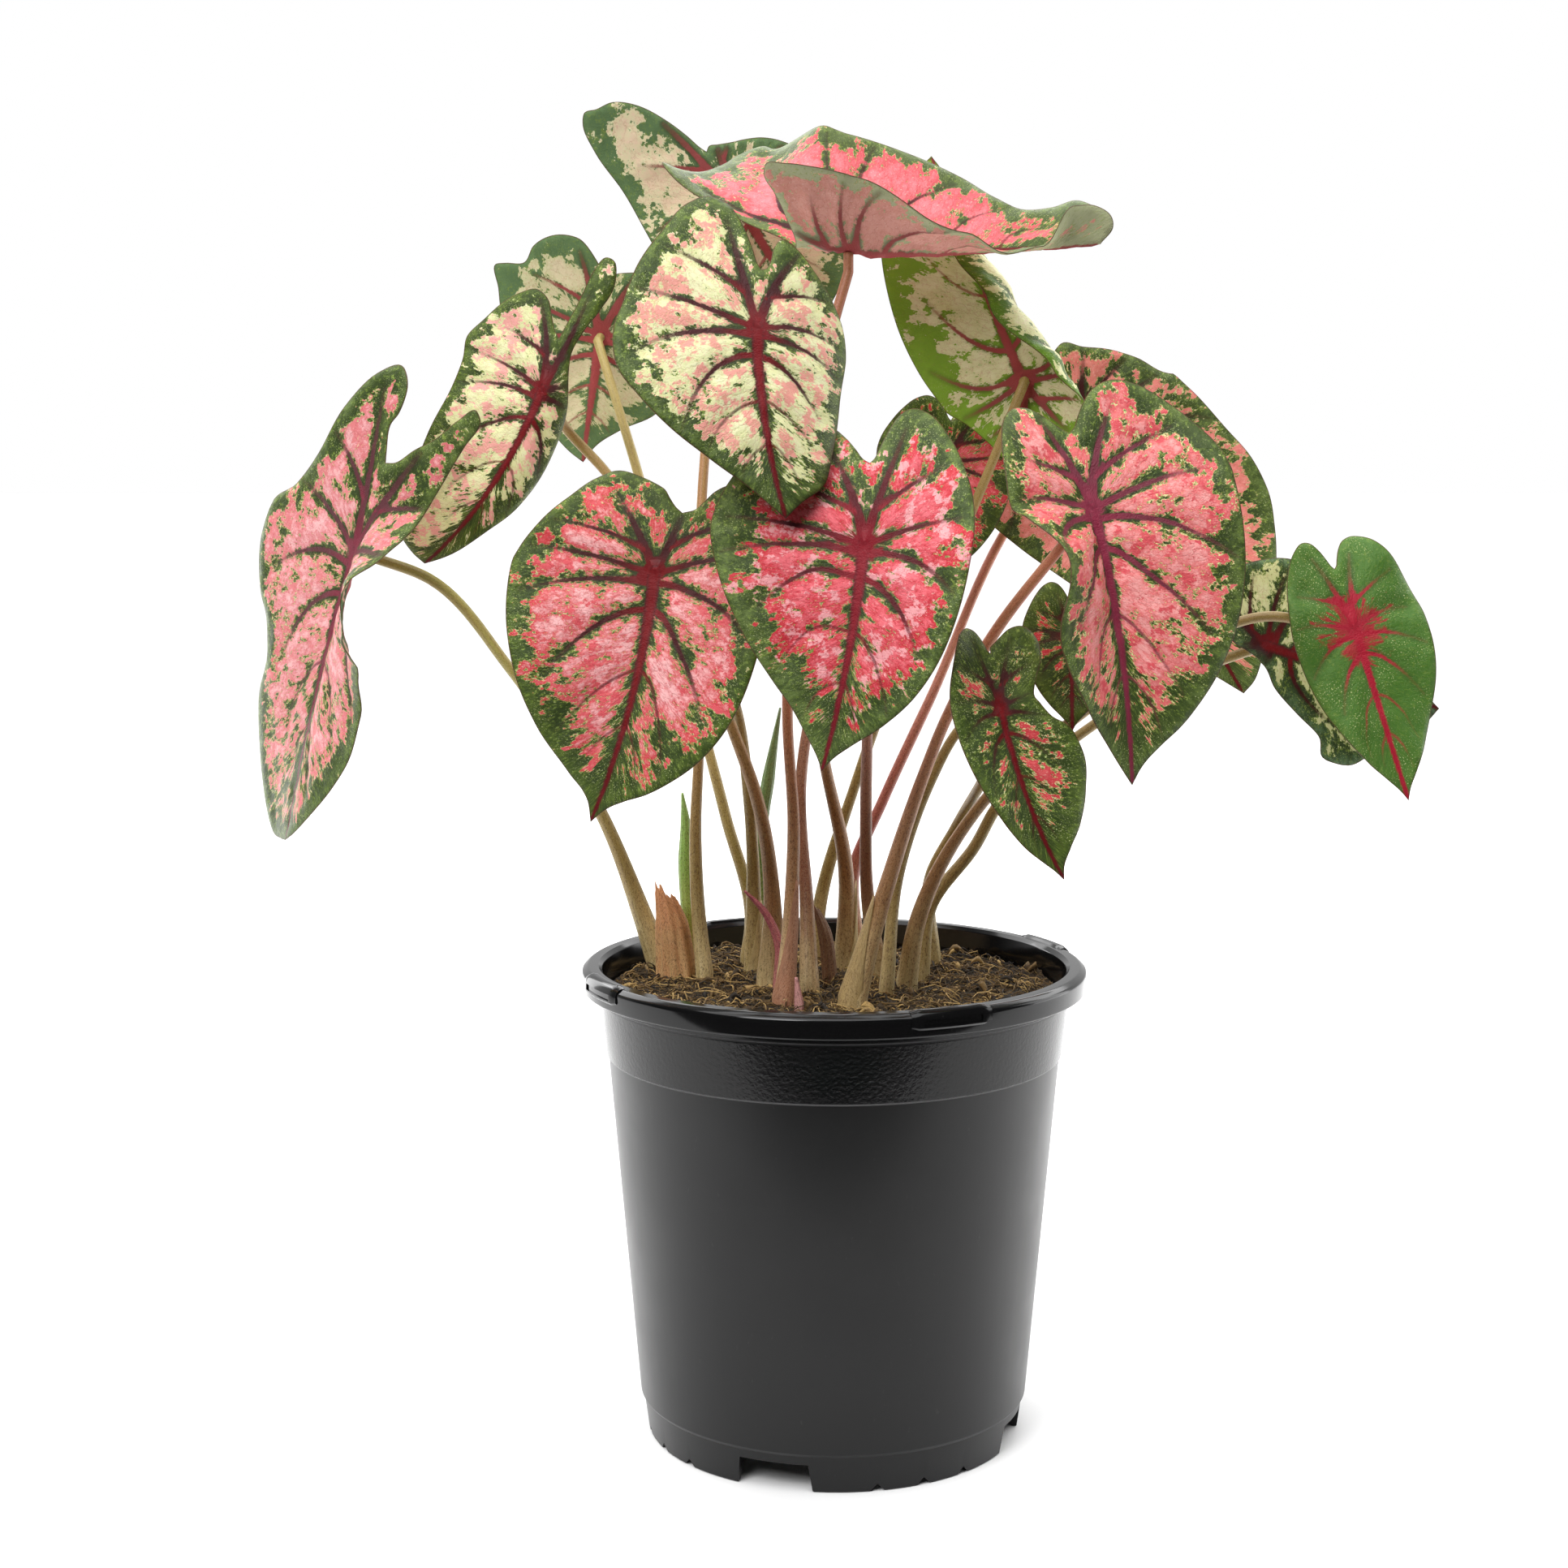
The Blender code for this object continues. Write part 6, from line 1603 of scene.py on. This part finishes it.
class CALADIUM_OT_pot(bpy.types.Operator):
    """Make the moulded nursery pot"""
    bl_idname = "caladium.pot"
    bl_label = "Make Pot"

    def execute(self, context):
        settings = context.scene.caladium_pot
        body = turned_piece("nursery_pot", pot_profile(), settings.sides)
        tools = []
        for quarter in range(4):
            azimuth = DRAIN_AZIMUTH + 90 * quarter
            cuts = [(drain_notch, azimuth), (floor_hole, azimuth)]
            cuts += [(foot_notch, azimuth + offset) for offset in NOTCH_OFFSETS]
            tools += [(tool_solid(make, turn), "DIFFERENCE") for make, turn in cuts]
        for quarter in range(4):
            azimuth = TAB_AZIMUTH + 90 * quarter
            tools += [(tool_solid(rim_tab, azimuth), "UNION"), (tool_solid(rim_bed, azimuth), "DIFFERENCE")]
        mesh = apply_tools(body, tools)
        mesh.materials.clear()
        mesh.materials.append(pot_material(settings))
        mesh.shade_smooth()
        mesh.set_sharp_from_angle(angle=math.radians(SHARP_ANGLE))
        place_piece("nursery_pot", mesh, ["pot"])
        return {"FINISHED"}


class CALADIUM_OT_soil(bpy.types.Operator):
    """Make the soil with its coir fibres and colour the tubers in it"""
    bl_idname = "caladium.soil"
    bl_label = "Make Soil"

    def execute(self, context):
        settings = context.scene.caladium_soil
        make_soil(settings)
        make_fibres(settings)
        skin = tuber_material()
        for name in ("tuber_left", "tuber_front", "tuber_back"):
            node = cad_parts[name]
            node.data.materials.clear()
            node.data.materials.append(skin)
        return {"FINISHED"}


class CALADIUM_OT_blades(bpy.types.Operator):
    """Make the patterned leaf blades"""
    bl_idname = "caladium.blades"
    bl_label = "Make Blades"

    def execute(self, context):
        for seed, (name, leaf) in enumerate(LEAVES.items(), 1):
            make_blade(name, leaf, {**FACE, **FACES[name], "seed": seed}, context.scene.caladium_blades)
        return {"FINISHED"}


class CALADIUM_OT_stems(bpy.types.Operator):
    """Make the petioles, young shoots and dry sheaths"""
    bl_idname = "caladium.stems"
    bl_label = "Make Stems"

    def execute(self, context):
        for make, table in ((make_petiole, LEAVES), (make_shoot, SHOOTS), (make_wrap, WRAPS)):
            for index, (name, item) in enumerate(table.items()):
                make(name, item, index)
        return {"FINISHED"}


def area_light(name, place, aim, size, power):
    """A soft rectangular light that looks at its aim."""
    data = bpy.data.lights.new(name, "AREA")
    data.shape = "RECTANGLE"
    data.size, data.size_y = size
    data.energy = power
    lamp = linked(name, data)
    lamp.location = place
    lamp.rotation_euler = (Vector(aim) - Vector(place)).to_track_quat("-Z", "Y").to_euler()


def studio_world(settings):
    """Plain white behind the plant, and a soft light all round that is dimmer in front."""
    world = bpy.data.worlds.new("studio")
    world.use_nodes = True
    tree = world.node_tree
    tree.nodes.clear()
    wire = Wiring(tree)
    heading = wire.node("ShaderNodeTexCoord").outputs["Generated"]
    ahead = wire.node("ShaderNodeSeparateXYZ", {0: heading}).outputs[1]
    glow = wire.step(ahead, 0.0, 0.6, 0.35 * settings.sky, 4.0 * settings.sky)
    seen = wire.node("ShaderNodeLightPath").outputs["Is Camera Ray"]
    soft, white = (wire.node("ShaderNodeBackground", {"Color": (1, 1, 1, 1), "Strength": strength})
                   for strength in (glow, 1.0))
    blend = wire.node("ShaderNodeMixShader", {0: seen, 1: soft.outputs[0], 2: white.outputs[0]})
    wire.node("ShaderNodeOutputWorld", {"Surface": blend.outputs[0]})
    return world


class CALADIUM_OT_stage(bpy.types.Operator):
    """Make the floor, the light and the camera"""
    bl_idname = "caladium.stage"
    bl_label = "Make Stage"

    def execute(self, context):
        settings = context.scene.caladium_stage
        scene = context.scene
        mesh = bpy.data.meshes.new("floor")
        corners = [(-FLOOR_REACH, FLOOR_FRONT, 0), (FLOOR_REACH, FLOOR_FRONT, 0),
                   (FLOOR_REACH, FLOOR_REACH, 0), (-FLOOR_REACH, FLOOR_REACH, 0)]
        mesh.from_pydata(corners, [], [(0, 1, 2, 3)])
        material, _, shader = new_material("floor")
        shader["Base Color"].default_value = colour4(tuple(settings.floor))
        shader["Roughness"].default_value = 0.9
        shader["Specular IOR Level"].default_value = 0.1
        mesh.materials.append(material)
        floor = linked("floor", mesh)
        floor.location.z = -FLOOR_DROP

        scene.world = studio_world(settings)
        sun = bpy.data.lights.new("sun", "SUN")
        sun.energy = settings.sun
        sun.angle = math.radians(SUN_SPREAD)
        linked("sun", sun).rotation_euler = [math.radians(angle) for angle in SUN_TILT]
        for name, values in AREA_LIGHTS.items():
            area_light(name, *values)

        data = bpy.data.cameras.new("camera")
        data.lens = CAMERA_LENS
        data.sensor_width = CAMERA_SENSOR
        camera = linked("camera", data)
        camera.location = Vector(CAMERA_PLACE) * MM
        camera.rotation_euler = (math.radians(90 - CAMERA_PITCH), 0, math.radians(CAMERA_TURN))
        scene.camera = camera
        scene.view_settings.view_transform = "Standard"
        return {"FINISHED"}


class CALADIUM_PT_panel(bpy.types.Panel):
    """Lists the steps and their settings"""
    bl_label = "Potted Caladium"
    bl_idname = "CALADIUM_PT_panel"
    bl_space_type = "VIEW_3D"
    bl_region_type = "UI"
    bl_category = "Caladium"

    def draw(self, context):
        layout = self.layout
        for operator, group in (("caladium.pot", "caladium_pot"), ("caladium.soil", "caladium_soil"),
                                ("caladium.blades", "caladium_blades"), ("caladium.stems", None),
                                ("caladium.stage", "caladium_stage")):
            layout.operator(operator)
            if group:
                settings = getattr(context.scene, group)
                for key in settings.bl_rna.properties.keys():
                    if key not in ("rna_type", "name"):
                        layout.prop(settings, key)


CLASSES = (CaladiumPotSettings, CaladiumBladeSettings, CaladiumSoilSettings, CaladiumStageSettings,
           CALADIUM_OT_pot, CALADIUM_OT_soil, CALADIUM_OT_blades, CALADIUM_OT_stems, CALADIUM_OT_stage,
           CALADIUM_PT_panel)
SETTINGS = {"caladium_pot": CaladiumPotSettings, "caladium_blades": CaladiumBladeSettings,
            "caladium_soil": CaladiumSoilSettings, "caladium_stage": CaladiumStageSettings}


def register():
    for item in CLASSES:
        bpy.utils.register_class(item)
    for key, group in SETTINGS.items():
        setattr(bpy.types.Scene, key, PointerProperty(type=group))


def unregister():
    for key in SETTINGS:
        delattr(bpy.types.Scene, key)
    for item in reversed(CLASSES):
        bpy.utils.unregister_class(item)


def main():
    register()
    bpy.ops.caladium.pot()
    bpy.ops.caladium.soil()
    bpy.ops.caladium.blades()
    bpy.ops.caladium.stems()
    bpy.ops.caladium.stage()


if __name__ == "__main__":
    main()
